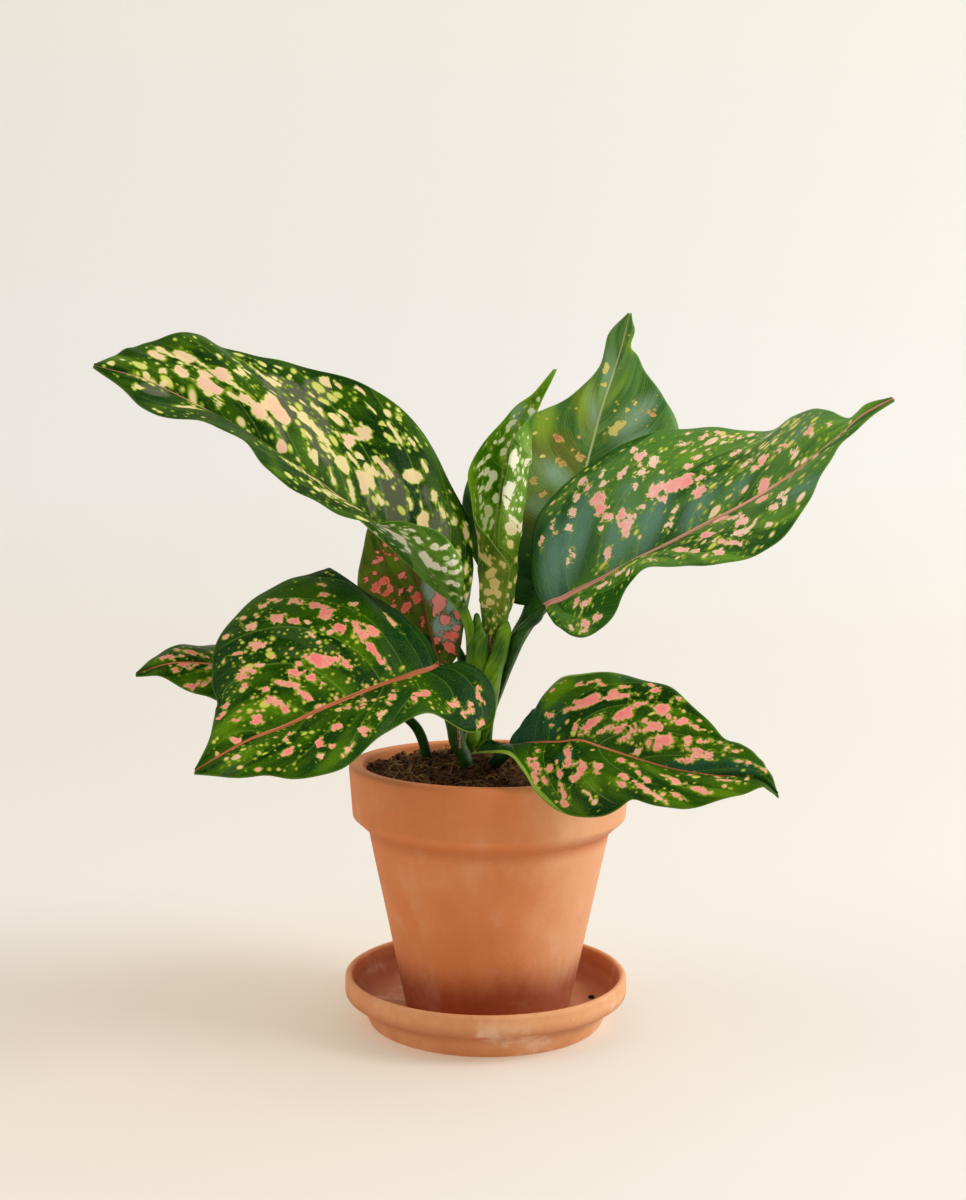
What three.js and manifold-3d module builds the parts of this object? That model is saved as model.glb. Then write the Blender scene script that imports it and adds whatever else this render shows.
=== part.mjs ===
// Potted chinese evergreen: a spotted foliage plant in a terracotta pot on a saucer.
// Millimetres, +Z up. Origin: centre of the saucer's foot, on the surface it stands on.
// The plant is seen from the front along +Y, with +X to the right.

import * as THREE from 'three';
import { mergeVertices } from 'three/addons/utils/BufferGeometryUtils.js';
import Module from 'manifold-3d';

const wasm = await Module();
wasm.setup();

// ---- Driving dimensions ------------------------------------------------------------

const CLEARANCE = 0.3;
const ROUND_SIDES = 56;

const SAUCER = {
  footRadius: 58.9,
  floorTop: 7,
  floorRadius: 61,
  lipRadius: 70.5,
  lipInner: 66.8,
  bandBottom: 13,
  height: 23.6,
  stepOut: 3.2,
  stepHeight: 8,
  shoulderOut: 6.8,
  shoulderHeight: 11.4,
  edgeEase: 1.2,
  bandEase: 2.4,
  wallSlope: 0.6,
  cove: 2.6,
  coveHeight: 2,
};

const POT = {
  x: 1,
  baseRadius: 41.5,
  bodyTopRadius: 60,
  bodyTop: 95.9,
  collarBottom: 103.4,
  collarBottomRadius: 68.1,
  rimRadius: 70,
  rimInner: 63,
  height: 129.3,
  wall: 6,
  floor: 9,
  drainRadius: 6,
  edgeEase: 1.2,
  rimRound: 2.2,
  innerRound: 1.2,
  rimWallDrop: 4,
  collarWallDrop: 16,
  collarWallSlope: 1.5,
  bodyWallDrop: 4,
};

const SOIL = {
  bottom: 20,
  rings: 12,
  sectors: 44,
  edgeFront: 126.5,
  edgeBack: 124,
  heap: 12,
  heapRadius: 30,
  lump: 1.3,
  lumpWaves: 0.3,
  crumb: 0.65,
  crumbWaves: 0.7,
};

const BLADE = {
  thickness: 0.9,
  ribDepth: 1.6,
  spans: 2,
  columns: 4,
  sweep: 0.1,
};

const PETIOLE_SIDES = 10;
const PETIOLE_SPANS = 3;

// ---- Leaves ------------------------------------------------------------------------
// Each row is one pair of side veins, from the base of the blade to its tip: a point on
// the midrib, the point that its left vein reaches on the edge, and the same on the
// right, as seen from above with the tip pointing away. crown is how far each half
// bulges up (or, if negative, down) as a share of its width; a row may have its own.

const LEAVES = {
  blade_upper_left: {
    crown: [0.06, 0.08],
    rows: [
      [[-13, -14, 207], [-13, -17, 209], [-12, -13, 210], [-0.1, 0.05]],
      [[-14, -14, 209], [-12, -24, 219], [-9, -8, 230], [-0.12, 0.05]],
      [[-17, -15, 212], [-13, -32, 229], [-11, -3, 251], [-0.14, 0.06]],
      [[-23, -17, 216], [-17, -42, 239], [-19, 2, 267], [-0.12, 0.08]],
      [[-31, -20, 223], [-24, -52, 246], [-35, 6, 295], [-0.08, 0.08]],
      [[-43, -24, 235], [-36, -62, 250], [-62, 6, 316], [-0.02, 0.08]],
      [[-58, -29, 249], [-57, -70, 251], [-99, 2, 326]],
      [[-75, -34, 264], [-80, -76, 261], [-126, -9, 332]],
      [[-96, -40, 279], [-100, -78, 276], [-145, -20, 339]],
      [[-110, -43, 288], [-111, -79, 287], [-157, -28, 335]],
      [[-126, -46, 298], [-127, -77, 295], [-165, -34, 331]],
      [[-143, -49, 307], [-149, -73, 297], [-171, -40, 328]],
      [[-160, -52, 315], [-165, -63, 307], [-176, -48, 324]],
      [[-181, -54, 320], [-181, -55, 319], [-181, -53, 321]],
    ],
  },
  blade_centre: {
    crown: [-0.12, -0.5],
    rows: [
      [[3, 2, 196], [1, -4, 196], [7, -4, 196], [-0.3, -0.3]],
      [[3, 6, 203], [7, -8, 205], [5, -5, 203], [-0.5, -0.5]],
      [[3, 9, 211], [9, -11, 216], [6, -7, 212], [-0.5, -0.5]],
      [[3, 11, 222], [10, -14, 228], [5, -9, 225], [-0.45, -0.5]],
      [[3, 12, 234], [2, -15, 239], [4, -10, 238], [-0.3, -0.5]],
      [[3, 13, 248], [-7, -12, 251], [5, -11, 250], [-0.14, -0.52]],
      [[5, 13, 262], [-10, -8, 267], [7, -12, 266]],
      [[7, 12, 277], [-8, -6, 280], [9, -12, 280]],
      [[11, 11, 290], [-1, -5, 291], [11, -11, 289]],
      [[16, 8, 302], [9, -2, 302], [20, -6, 300], [-0.1, -0.35]],
      [[23, 6, 312], [20, 1, 311], [26, 0, 308], [-0.08, -0.2]],
      [[32, 3, 324], [31, 3, 324], [33, 3, 324], [0, 0]],
    ],
  },
  blade_upper_back: {
    crown: [0.06, 0.06],
    rows: [
      [[30, 17, 208], [27, 16, 207], [33, 16, 208]],
      [[32, 18, 214], [12, 14, 208], [43, 12, 215]],
      [[34, 20, 224], [1, 18, 217], [60, 14, 227]],
      [[38, 24, 237], [-10, 23, 235], [76, 18, 242]],
      [[42, 29, 252], [-14, 30, 257], [89, 24, 260]],
      [[48, 35, 270], [-7, 37, 277], [96, 31, 279]],
      [[53, 41, 288], [12, 43, 297], [97, 38, 297]],
      [[58, 46, 306], [40, 48, 313], [90, 44, 313]],
      [[64, 50, 324], [57, 52, 329], [79, 49, 329]],
      [[69, 52, 341], [61, 53, 345], [75, 50, 343]],
      [[72, 47, 356], [71, 47, 356], [73, 47, 356]],
    ],
  },
  blade_right: {
    crown: [0.08, 0.08],
    rows: [
      [[28, -8, 208], [27, -6, 210], [28, -10, 207]],
      [[31, -9, 210], [22, 1, 221], [33, -20, 201]],
      [[36, -11, 212], [21, 8, 237], [44, -30, 195]],
      [[43, -14, 216], [25, 14, 253], [55, -40, 202]],
      [[54, -19, 222], [39, 18, 268], [62, -48, 215]],
      [[67, -26, 230], [61, 18, 285], [71, -58, 229]],
      [[83, -34, 239], [85, 14, 294], [88, -70, 232]],
      [[100, -42, 249], [110, 6, 296], [109, -80, 234]],
      [[119, -50, 260], [132, -8, 294], [128, -86, 244]],
      [[135, -56, 271], [144, -23, 301], [141, -86, 263]],
      [[148, -61, 282], [155, -43, 304], [150, -80, 280]],
      [[159, -65, 292], [164, -58, 299], [161, -74, 291]],
      [[169, -68, 301], [169, -65, 305], [171, -71, 300]],
      [[180, -70, 307], [179, -69, 308], [180, -71, 306]],
    ],
  },
  blade_lower_left: {
    crown: [0.08, 0.09],
    rows: [
      [[-23, -44, 183], [-20, -45, 182], [-24, -43, 184]],
      [[-25, -45, 182], [-8, -40, 183], [-29, -34, 191]],
      [[-28, -47, 181], [2, -42, 173], [-36, -26, 199]],
      [[-33, -50, 180], [2, -50, 158], [-48, -20, 208]],
      [[-40, -54, 178], [-8, -62, 154], [-62, -16, 216]],
      [[-50, -60, 175], [-26, -78, 165], [-78, -16, 226]],
      [[-62, -68, 171], [-46, -92, 158], [-98, -22, 220]],
      [[-76, -76, 166], [-65, -104, 144], [-116, -34, 209]],
      [[-90, -84, 160], [-85, -110, 141], [-127, -52, 190]],
      [[-105, -92, 155], [-104, -112, 142], [-124, -72, 170]],
      [[-117, -99, 149], [-117, -108, 142], [-122, -92, 157]],
      [[-127, -104, 143], [-127, -105, 142], [-127, -103, 144]],
    ],
  },
  blade_far_left: {
    crown: [0.08, 0.08],
    rows: [
      [[-77, -20, 163], [-76, -21, 161], [-78, -20, 165]],
      [[-81, -21, 165], [-83, -30, 158], [-88, -14, 174]],
      [[-91, -23, 169], [-95, -38, 159], [-105, -8, 183]],
      [[-105, -26, 174], [-110, -42, 160], [-122, -8, 188]],
      [[-121, -30, 179], [-127, -42, 166], [-138, -14, 189]],
      [[-137, -34, 182], [-140, -42, 169], [-149, -24, 189]],
      [[-151, -38, 182], [-154, -42, 175], [-159, -33, 185]],
      [[-166, -40, 177], [-166, -41, 176], [-166, -39, 178]],
    ],
  },
  blade_middle_back: {
    crown: [0.06, 0.06],
    rows: [
      [[-24, 14, 175], [-28, 12, 174], [-20, 12, 175]],
      [[-25, 15, 178], [-42, 10, 178], [-15, 10, 182]],
      [[-27, 17, 184], [-57, 14, 189], [-12, 13, 197]],
      [[-30, 20, 195], [-65, 19, 206], [-9, 17, 213]],
      [[-33, 25, 207], [-67, 26, 222], [-8, 24, 229]],
      [[-38, 32, 221], [-64, 34, 241], [-12, 32, 245]],
      [[-43, 39, 236], [-59, 42, 257], [-21, 40, 259]],
      [[-48, 45, 250], [-60, 48, 268], [-34, 46, 269]],
      [[-54, 50, 265], [-61, 52, 274], [-47, 51, 275]],
      [[-61, 54, 278], [-62, 54, 278], [-60, 54, 278]],
    ],
  },
  blade_lower_right: {
    crown: [0.08, 0.08],
    rows: [
      [[11, -40, 143], [11, -38, 145], [8, -41, 144]],
      [[12, -41, 144], [13, -34, 149], [-1, -38, 147]],
      [[15, -42, 145], [17, -30, 153], [-7, -43, 143]],
      [[18, -44, 146], [21, -26, 158], [-2, -52, 141]],
      [[22, -47, 147], [26, -24, 162], [9, -61, 142]],
      [[27, -51, 148], [30, -22, 170], [15, -69, 137]],
      [[33, -56, 149], [38, -24, 176], [22, -78, 129]],
      [[42, -63, 151], [55, -34, 179], [33, -90, 123]],
      [[52, -71, 149], [73, -48, 177], [48, -102, 124]],
      [[66, -81, 146], [91, -68, 169], [62, -110, 132]],
      [[82, -91, 143], [106, -85, 157], [84, -119, 131]],
      [[99, -100, 142], [115, -97, 152], [106, -120, 137]],
      [[113, -107, 142], [121, -105, 147], [118, -116, 140]],
      [[124, -112, 136], [124, -111, 137], [124, -113, 135]],
    ],
  },
};

// Petioles, leaf sheaths and canes: points from the root end up, each [x, y, z, radius].
const CLUMP_TUBES = [
  [[-9, 0, 92, 8], [-9, 0, 125, 9], [-6, 0, 155, 9.5], [0, 0, 178, 8], [3, 0, 194, 6]],
  [[-7, -5, 140, 5.5], [-8, -8, 172, 3.8], [-10, -11, 192, 2.8], [-12.8, -13.9, 206.1, 2.3]],
  [[-7, -4, 122, 6], [-1, -7, 152, 5], [9, -9, 176, 3.8], [19, -9, 196, 2.7], [26.4, -8.4, 206.4, 2.3]],
  [[0, 5, 150, 5], [8, 10, 176, 4], [19, 14, 195, 3], [28, 15.6, 205, 2.3]],
  [[-9, 5, 140, 6], [-17, 11, 158, 4], [-23.4, 14, 173.4, 2.6]],
  [[-7, -6, 140, 6], [-7, -7, 170, 5], [-5, -8, 188, 3.2], [-4.4, -8, 197, 1.4]],
  [[-2, -5, 140, 5], [5, -6, 172, 5], [9, -7, 190, 3.4], [10.6, -7, 199, 0.9]],
  [[-4, -6, 122, 6], [0, -18, 128, 4], [6, -31, 137, 3], [10, -38.4, 141.4, 2.4]],
];
const FRONT_CANE = [
  [-12, -19, 92, 4.5], [-12, -19, 126, 5], [-16, -24, 144, 4.8], [-20, -34, 164, 3.6],
  [-22.3, -42.4, 180.6, 2.5],
];
const SIDE_PETIOLE = [
  [-29, 4, 92, 3], [-29, 4, 124, 3], [-34, 2, 144, 3], [-48, -6, 155, 2.8], [-63, -14, 160.4, 2.5],
  [-75.4, -19.4, 162.4, 2.1],
];

// ---- Solids ------------------------------------------------------------------------

function toSolid(geometry) {
  const plain = geometry.clone();
  plain.deleteAttribute('normal');
  plain.deleteAttribute('uv');
  const merged = mergeVertices(plain, 1e-4);
  const vertProperties = new Float32Array(merged.attributes.position.array);
  const triVerts = new Uint32Array(merged.index.array);
  return new wasm.Manifold(new wasm.Mesh({ numProp: 3, vertProperties, triVerts }));
}

function toGeometry(solid) {
  const mesh = solid.getMesh();
  const geometry = new THREE.BufferGeometry();
  geometry.setAttribute('position', new THREE.BufferAttribute(mesh.vertProperties, 3));
  geometry.setIndex(new THREE.BufferAttribute(mesh.triVerts, 1));
  geometry.computeVertexNormals();
  return geometry;
}

function meshGeometry(points, faces) {
  const geometry = new THREE.BufferGeometry();
  const positions = new Float32Array(points.flatMap((point) => point.toArray()));
  geometry.setAttribute('position', new THREE.BufferAttribute(positions, 3));
  geometry.setIndex(faces.flat());
  geometry.computeVertexNormals();
  return geometry;
}

// A solid skin over closed rings that all have the same number of points.
function ringSolid(rings) {
  const sides = rings[0].length;
  const points = rings.flat();
  const faces = [];
  for (let row = 0; row < rings.length - 1; row += 1) {
    for (let side = 0; side < sides; side += 1) {
      const next = (side + 1) % sides;
      const a = row * sides + side;
      const b = row * sides + next;
      faces.push([a, b, b + sides], [a, b + sides, a + sides]);
    }
  }
  const last = (rings.length - 1) * sides;
  for (let side = 1; side < sides - 1; side += 1) {
    faces.push([0, side + 1, side], [last, last + side, last + side + 1]);
  }
  return meshGeometry(points, faces);
}

function arcPoints(cx, cz, radius, fromDegrees, toDegrees, steps) {
  const points = [];
  for (let i = 0; i <= steps; i += 1) {
    const angle = THREE.MathUtils.degToRad(fromDegrees + ((toDegrees - fromDegrees) * i) / steps);
    points.push([cx + radius * Math.cos(angle), cz + radius * Math.sin(angle)]);
  }
  return points;
}

// Turns a profile of [radius, height] pairs about the upright axis.
function turned(profile) {
  const outline = profile.map(([radius, height]) => new THREE.Vector2(radius, height));
  const geometry = new THREE.LatheGeometry(outline, ROUND_SIDES);
  geometry.rotateX(Math.PI / 2);
  return geometry;
}

// ---- Saucer ------------------------------------------------------------------------

function saucerGeometry() {
  const lipWidth = SAUCER.lipRadius - SAUCER.lipInner;
  const lipRound = lipWidth / 2;
  const lipCentre = SAUCER.lipInner + lipRound;
  const profile = [
    [0, 0],
    [SAUCER.footRadius - SAUCER.edgeEase, 0],
    [SAUCER.footRadius, SAUCER.edgeEase],
    [SAUCER.footRadius + SAUCER.stepOut, SAUCER.stepHeight],
    [SAUCER.footRadius + SAUCER.shoulderOut, SAUCER.shoulderHeight],
    [SAUCER.lipRadius - SAUCER.edgeEase, SAUCER.bandBottom],
    [SAUCER.lipRadius, SAUCER.bandBottom + SAUCER.bandEase],
    ...arcPoints(lipCentre, SAUCER.height - lipRound, lipRound, 0, 180, 6),
    [SAUCER.lipInner - SAUCER.wallSlope, SAUCER.bandBottom + SAUCER.coveHeight],
    [SAUCER.floorRadius + SAUCER.cove, SAUCER.floorTop + SAUCER.coveHeight],
    [SAUCER.floorRadius, SAUCER.floorTop],
    [0, SAUCER.floorTop],
  ];
  return turned(profile);
}

// ---- Pot ---------------------------------------------------------------------------

const POT_FOOT = SAUCER.floorTop + CLEARANCE;
const BODY_WALL_TOP = POT.bodyTop - POT.bodyWallDrop;
const SOIL_EDGE_HEIGHT = POT.height - POT.collarWallDrop;
const POT_INSIDE = [
  [POT.baseRadius - POT.wall, POT_FOOT + POT.floor],
  [POT.bodyTopRadius - POT.wall, BODY_WALL_TOP],
  [POT.rimInner - POT.collarWallSlope, SOIL_EDGE_HEIGHT],
  [POT.rimInner, POT.height - POT.rimWallDrop],
];

// Inner radius of the pot at a height.
function potInnerRadius(height) {
  const above = POT_INSIDE.findIndex(([, level]) => level >= height);
  const upper = above < 0 ? POT_INSIDE.length - 1 : Math.max(above, 1);
  const [lowRadius, low] = POT_INSIDE[upper - 1];
  const [highRadius, high] = POT_INSIDE[upper];
  return THREE.MathUtils.lerp(lowRadius, highRadius, Math.min((height - low) / (high - low), 1));
}

function potGeometry() {
  const { rimRadius, rimInner, rimRound, innerRound, edgeEase } = POT;
  const profile = [
    [POT.drainRadius, POT_FOOT],
    [POT.baseRadius - edgeEase, POT_FOOT],
    [POT.baseRadius, POT_FOOT + edgeEase],
    [POT.bodyTopRadius, POT.bodyTop],
    [POT.collarBottomRadius - edgeEase, POT.collarBottom - edgeEase],
    [POT.collarBottomRadius, POT.collarBottom + edgeEase / 2],
    ...arcPoints(rimRadius - rimRound, POT.height - rimRound, rimRound, 0, 90, 4),
    ...arcPoints(rimInner + innerRound, POT.height - innerRound, innerRound, 90, 180, 3),
    ...POT_INSIDE.toReversed(),
    [POT.drainRadius, POT_FOOT + POT.floor],
    [POT.drainRadius, POT_FOOT],
  ];
  return turned(profile);
}

// ---- Soil --------------------------------------------------------------------------

// Height of the soil at a point measured from the pot's axis: level with the rim at the
// front, lower at the back, and heaped round the stems, with lumps and crumbs on it.
function soilHeight(x, y, edgeRadius) {
  const edge = THREE.MathUtils.mapLinear(y, -edgeRadius, edgeRadius, SOIL.edgeFront, SOIL.edgeBack);
  const heap = SOIL.heap * Math.exp(-((Math.hypot(x, y) / SOIL.heapRadius) ** 2));
  const lumps = SOIL.lump * Math.sin(x * SOIL.lumpWaves) * Math.cos(y * SOIL.lumpWaves);
  const crumbs = SOIL.crumb * Math.sin((x - y) * SOIL.crumbWaves);
  return edge + heap + lumps + crumbs;
}

function circleRing(radius, heightAt) {
  const ring = [];
  for (let i = 0; i < SOIL.sectors; i += 1) {
    const angle = (2 * Math.PI * i) / SOIL.sectors;
    const x = radius * Math.cos(angle);
    const y = radius * Math.sin(angle);
    ring.push(new THREE.Vector3(x, y, heightAt(x, y)));
  }
  return ring;
}

function soilGeometry(stems) {
  const gap = 2 * CLEARANCE;
  const edgeRadius = potInnerRadius(SOIL_EDGE_HEIGHT) - gap;
  const rings = [SOIL.bottom, BODY_WALL_TOP, SOIL_EDGE_HEIGHT].map((height) => (
    circleRing(potInnerRadius(height) - gap, () => height)
  ));
  for (let i = SOIL.rings; i > 0; i -= 1) {
    const radius = (edgeRadius * i) / SOIL.rings;
    rings.push(circleRing(radius, (x, y) => soilHeight(x, y, edgeRadius)));
  }
  const whole = toSolid(ringSolid(rings).translate(POT.x, 0, 0));
  const holes = stems.map((stem) => toSolid(tubeGeometry(stem, gap)));
  return toGeometry(holes.reduce((rest, hole) => rest.subtract(hole), whole));
}

// ---- Canes and petioles ------------------------------------------------------------

function tubeGeometry(stations, extra = 0) {
  const curve = new THREE.CatmullRomCurve3(stations.map(([x, y, z]) => new THREE.Vector3(x, y, z)));
  const radii = new THREE.CatmullRomCurve3(stations.map((station) => new THREE.Vector3(station[3], 0, 0)));
  const steps = PETIOLE_SPANS * (stations.length - 1);
  const frames = curve.computeFrenetFrames(steps, false);
  const rings = [];
  for (let i = 0; i <= steps; i += 1) {
    const centre = curve.getPoint(i / steps);
    const radius = radii.getPoint(i / steps).x + extra;
    const ring = [];
    for (let side = 0; side < PETIOLE_SIDES; side += 1) {
      const angle = (2 * Math.PI * side) / PETIOLE_SIDES;
      const offset = frames.normals[i].clone().multiplyScalar(Math.cos(angle) * radius);
      offset.addScaledVector(frames.binormals[i], Math.sin(angle) * radius);
      ring.push(centre.clone().add(offset));
    }
    rings.push(ring);
  }
  return ringSolid(rings);
}

function clumpGeometry() {
  const tubes = CLUMP_TUBES.map((stations) => toSolid(tubeGeometry(stations)));
  return toGeometry(tubes.reduce((whole, tube) => whole.add(tube)));
}

// ---- Blades ------------------------------------------------------------------------

function smoothLine(points, count) {
  const curve = new THREE.CatmullRomCurve3(points.map(([x, y, z]) => new THREE.Vector3(x, y, z)));
  const line = [];
  for (let i = 0; i <= count; i += 1) line.push(curve.getPoint(i / count));
  return line;
}

// The leaf's middle surface: one line of points for each pair of veins, edge to edge.
function bladeSurface({ rows, crown }) {
  const count = BLADE.spans * (rows.length - 1);
  const rib = smoothLine(rows.map((row) => row[0]), count);
  const edges = [1, 2].map((side) => smoothLine(rows.map((row) => row[side]), count));
  const crowns = smoothLine(rows.map((row) => [...(row[3] ?? crown), 0]), count);
  return rib.map((root, i) => {
    const ahead = rib[Math.min(i + 1, count)].clone().sub(rib[Math.max(i - 1, 0)]).normalize();
    const line = [];
    for (let column = -BLADE.columns; column <= BLADE.columns; column += 1) {
      const side = column < 0 ? 0 : 1;
      const share = Math.abs(column) / BLADE.columns;
      const out = edges[side][i].clone().sub(root);
      const up = side === 0 ? ahead.clone().cross(out) : out.clone().cross(ahead);
      const bow = 4 * share * (1 - share) * out.length();
      const point = root.clone().addScaledVector(out, share);
      point.addScaledVector(up.normalize(), crowns[i].getComponent(side) * bow);
      point.addScaledVector(ahead, -BLADE.sweep * bow);
      line.push(point);
    }
    return line;
  });
}

function surfaceNormals(surface) {
  const lastRow = surface.length - 1;
  const lastColumn = surface[0].length - 1;
  return surface.map((line, i) => line.map((point, j) => {
    const along = surface[Math.min(i + 1, lastRow)][j].clone().sub(surface[Math.max(i - 1, 0)][j]);
    const across = line[Math.min(j + 1, lastColumn)].clone().sub(line[Math.max(j - 1, 0)]);
    return across.cross(along).normalize();
  }));
}

// Both faces share one grid of triangles, so the thin blade never crosses itself.
function bladeGeometry(leaf) {
  const surface = bladeSurface(leaf);
  const normals = surfaceNormals(surface);
  const width = surface[0].length;
  const lastRow = surface.length - 1;
  const top = surface.map((line, i) => line.map((point, j) => (
    point.clone().addScaledVector(normals[i][j], BLADE.thickness / 2)
  )));
  const bottom = surface.map((line, i) => line.map((point, j) => {
    const onRib = j === BLADE.columns ? BLADE.ribDepth * (1 - i / lastRow) : 0;
    return point.clone().addScaledVector(normals[i][j], -BLADE.thickness / 2 - onRib);
  }));
  const points = [...top.flat(), ...bottom.flat()];
  const below = top.length * width;
  const faces = [];
  for (let i = 0; i < lastRow; i += 1) {
    for (let j = 0; j < width - 1; j += 1) {
      const a = i * width + j;
      const b = a + 1;
      const c = a + width;
      const d = c + 1;
      faces.push([a, b, d], [a, d, c]);
      faces.push([below + a, below + d, below + b], [below + a, below + c, below + d]);
    }
    const left = i * width;
    const right = left + width - 1;
    faces.push([left, left + width, below + left + width], [left, below + left + width, below + left]);
    faces.push([right, below + right + width, right + width]);
    faces.push([right, below + right, below + right + width]);
  }
  for (let j = 0; j < width - 1; j += 1) {
    const end = lastRow * width + j;
    faces.push([j, below + j, below + j + 1], [j, below + j + 1, j + 1]);
    faces.push([end, below + end + 1, below + end], [end, end + 1, below + end + 1]);
  }
  return meshGeometry(points, faces);
}

// ---- Materials and assembly --------------------------------------------------------

const terracotta = new THREE.MeshStandardMaterial({ color: 0xc4784a, roughness: 0.85, metalness: 0 });
const paleTerracotta = new THREE.MeshStandardMaterial({ color: 0xcd8c68, roughness: 0.88, metalness: 0 });
const earth = new THREE.MeshStandardMaterial({ color: 0x3a2519, roughness: 0.95, metalness: 0 });
const stemGreen = new THREE.MeshStandardMaterial({ color: 0x5f8a35, roughness: 0.5, metalness: 0 });
const leafGreen = new THREE.MeshStandardMaterial({ color: 0x2f5f22, roughness: 0.4, metalness: 0 });

function piece(name, geometry, material) {
  const mesh = new THREE.Mesh(geometry, material);
  mesh.name = name;
  return mesh;
}

const plant = new THREE.Group();
plant.add(piece('saucer', saucerGeometry(), paleTerracotta));
const pot = piece('pot', potGeometry(), terracotta);
pot.position.x = POT.x;
plant.add(pot);
plant.add(piece('soil', soilGeometry([...CLUMP_TUBES, FRONT_CANE, SIDE_PETIOLE]), earth));
plant.add(piece('stem_clump', clumpGeometry(), stemGreen));
plant.add(piece('cane_front', tubeGeometry(FRONT_CANE), stemGreen));
plant.add(piece('petiole_far_left', tubeGeometry(SIDE_PETIOLE), stemGreen));
for (const [name, leaf] of Object.entries(LEAVES)) {
  plant.add(piece(name, bladeGeometry(leaf), leafGreen));
}

export default plant;
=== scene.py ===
# Potted chinese evergreen: a spotted foliage plant in a terracotta pot on a saucer.
# Tables are in millimetres, as in the part's own frame; MM turns them into metres.

import math
import random

import bmesh
import bpy
import numpy as np
from mathutils import Euler, Matrix, Vector, noise


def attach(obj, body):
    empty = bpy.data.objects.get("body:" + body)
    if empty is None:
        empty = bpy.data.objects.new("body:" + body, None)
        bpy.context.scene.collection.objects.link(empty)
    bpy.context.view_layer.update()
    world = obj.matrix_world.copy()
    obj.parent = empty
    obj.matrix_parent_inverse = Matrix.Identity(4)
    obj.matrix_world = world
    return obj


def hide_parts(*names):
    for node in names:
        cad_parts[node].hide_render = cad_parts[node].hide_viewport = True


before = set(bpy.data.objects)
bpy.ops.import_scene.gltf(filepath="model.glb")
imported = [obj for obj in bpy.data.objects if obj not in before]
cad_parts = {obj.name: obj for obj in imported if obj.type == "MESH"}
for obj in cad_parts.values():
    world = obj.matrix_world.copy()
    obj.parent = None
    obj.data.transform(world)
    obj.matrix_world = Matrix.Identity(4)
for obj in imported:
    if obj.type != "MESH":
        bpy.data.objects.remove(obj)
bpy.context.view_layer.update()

MM = 0.001

# ---- Camera, taken from the photograph ---------------------------------------------------
# The place is in metres, the tilt and roll in degrees, the lens and sensor in millimetres.

CAMERA_AT = (-0.0028, -0.784, 0.272)
CAMERA_DOWN = 4.5
CAMERA_ROLL = 0.4
CAMERA_LENS = 47.7
CAMERA_SENSOR = 36.0

# ---- Pot, saucer and soil ----------------------------------------------------------------
# All heights are above the ground. The pot's axis stands at its x, the saucer's at 0.

ROUND_SIDES = 160

SAUCER = {
    "foot_radius": 58.9,
    "floor_top": 7,
    "floor_radius": 61,
    "lip_radius": 70.5,
    "lip_inner": 66.8,
    "band_bottom": 13,
    "height": 23.6,
    # The wet inside is where the radius is less than the wall's, and where the radius less
    # the slope times the height is less than the slant.
    "wet_radius": 66.4,
    "wet_slope": 1.25,
    "wet_slant": 50.3,
}

POT = {
    "x": 1,
    "foot": 7.3,
    "base_radius": 41.5,
    "body_top_radius": 60,
    "body_top": 95.9,
    "collar_bottom": 103.4,
    "collar_bottom_radius": 68.1,
    "rim_radius": 70,
    "rim_inner": 63,
    "height": 129.3,
    "wall": 6,
    "floor": 9,
    "drain_radius": 6,
    "damp_height": 41,
}

SOIL = {
    "rings": 90,
    "sectors": 260,
    "radius": 61.2,
    "margin": 1.5,
    "skirt_bottom": 108,
    "edge_front": 126.5,
    "edge_back": 124,
    "heap": 12,
    "heap_radius": 30,
    "lump": 1.3,
    "lump_waves": 0.3,
    "rough": 1.5,
    "rough_waves": 0.16,
}

# What is strewn on the soil. A crumb or chip lies its rise, a share of its size, above it.
CRUMBS = {"seed": 5, "count": 1500, "sizes": (0.5, 2.1), "rise": 0.2}
CHIPS = {"seed": 7, "count": 36, "sizes": (0.4, 1.2), "rise": 0.3}
FIBRES = {
    "seed": 11,
    "count": 170,
    "steps": 8,
    "length": (4, 15),
    "half_width": (0.1, 0.24),
    "bend": 0.22,
    "kink": 0.15,
    "gap_below": 0.9,
    "arch": 1.3,
}
# One dark crumb that has dropped into the saucer, with half its size each way.
SAUCER_CRUMB = {
    "at": (53.9, 6.4, 7.8),
    "half_size": (1.7, 1.2, 0.9),
}

# ---- Leaves ------------------------------------------------------------------------------
# rows: one row for each pair of side veins, from the base of the blade to its tip: a point on
#   the midrib, the point that its left vein reaches on the edge, and the same on the right, as
#   seen from above with the tip pointing away. A row may end with a crown of its own.
# crown: how far each half bulges up (or, if negative, down), as a share of its width.
# rib, keel: the midrib's half width at the base, and how far it stands out underneath.
# veins, lean: side veins along the blade, and how many rows each runs ahead, left and right.
# spots, bright, grey, calm: areas as (row, share of the half's width, length, width), with the
#   left half's shares negative. They lie along the side veins. A spot ends with its tone, from
#   cream 0 to pink 1. Bright areas are yellower, calm ones without dots. Grey areas are duller
#   and bluer: on some leaves their own grey-green, on others a painted sheen of the gloss.
# nicks: (side, row, how far the edge stands out or in, spread in rows); side 0 is the left.
# curls: (side, first row, last row, width) of a stretch of rolled edge.

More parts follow.
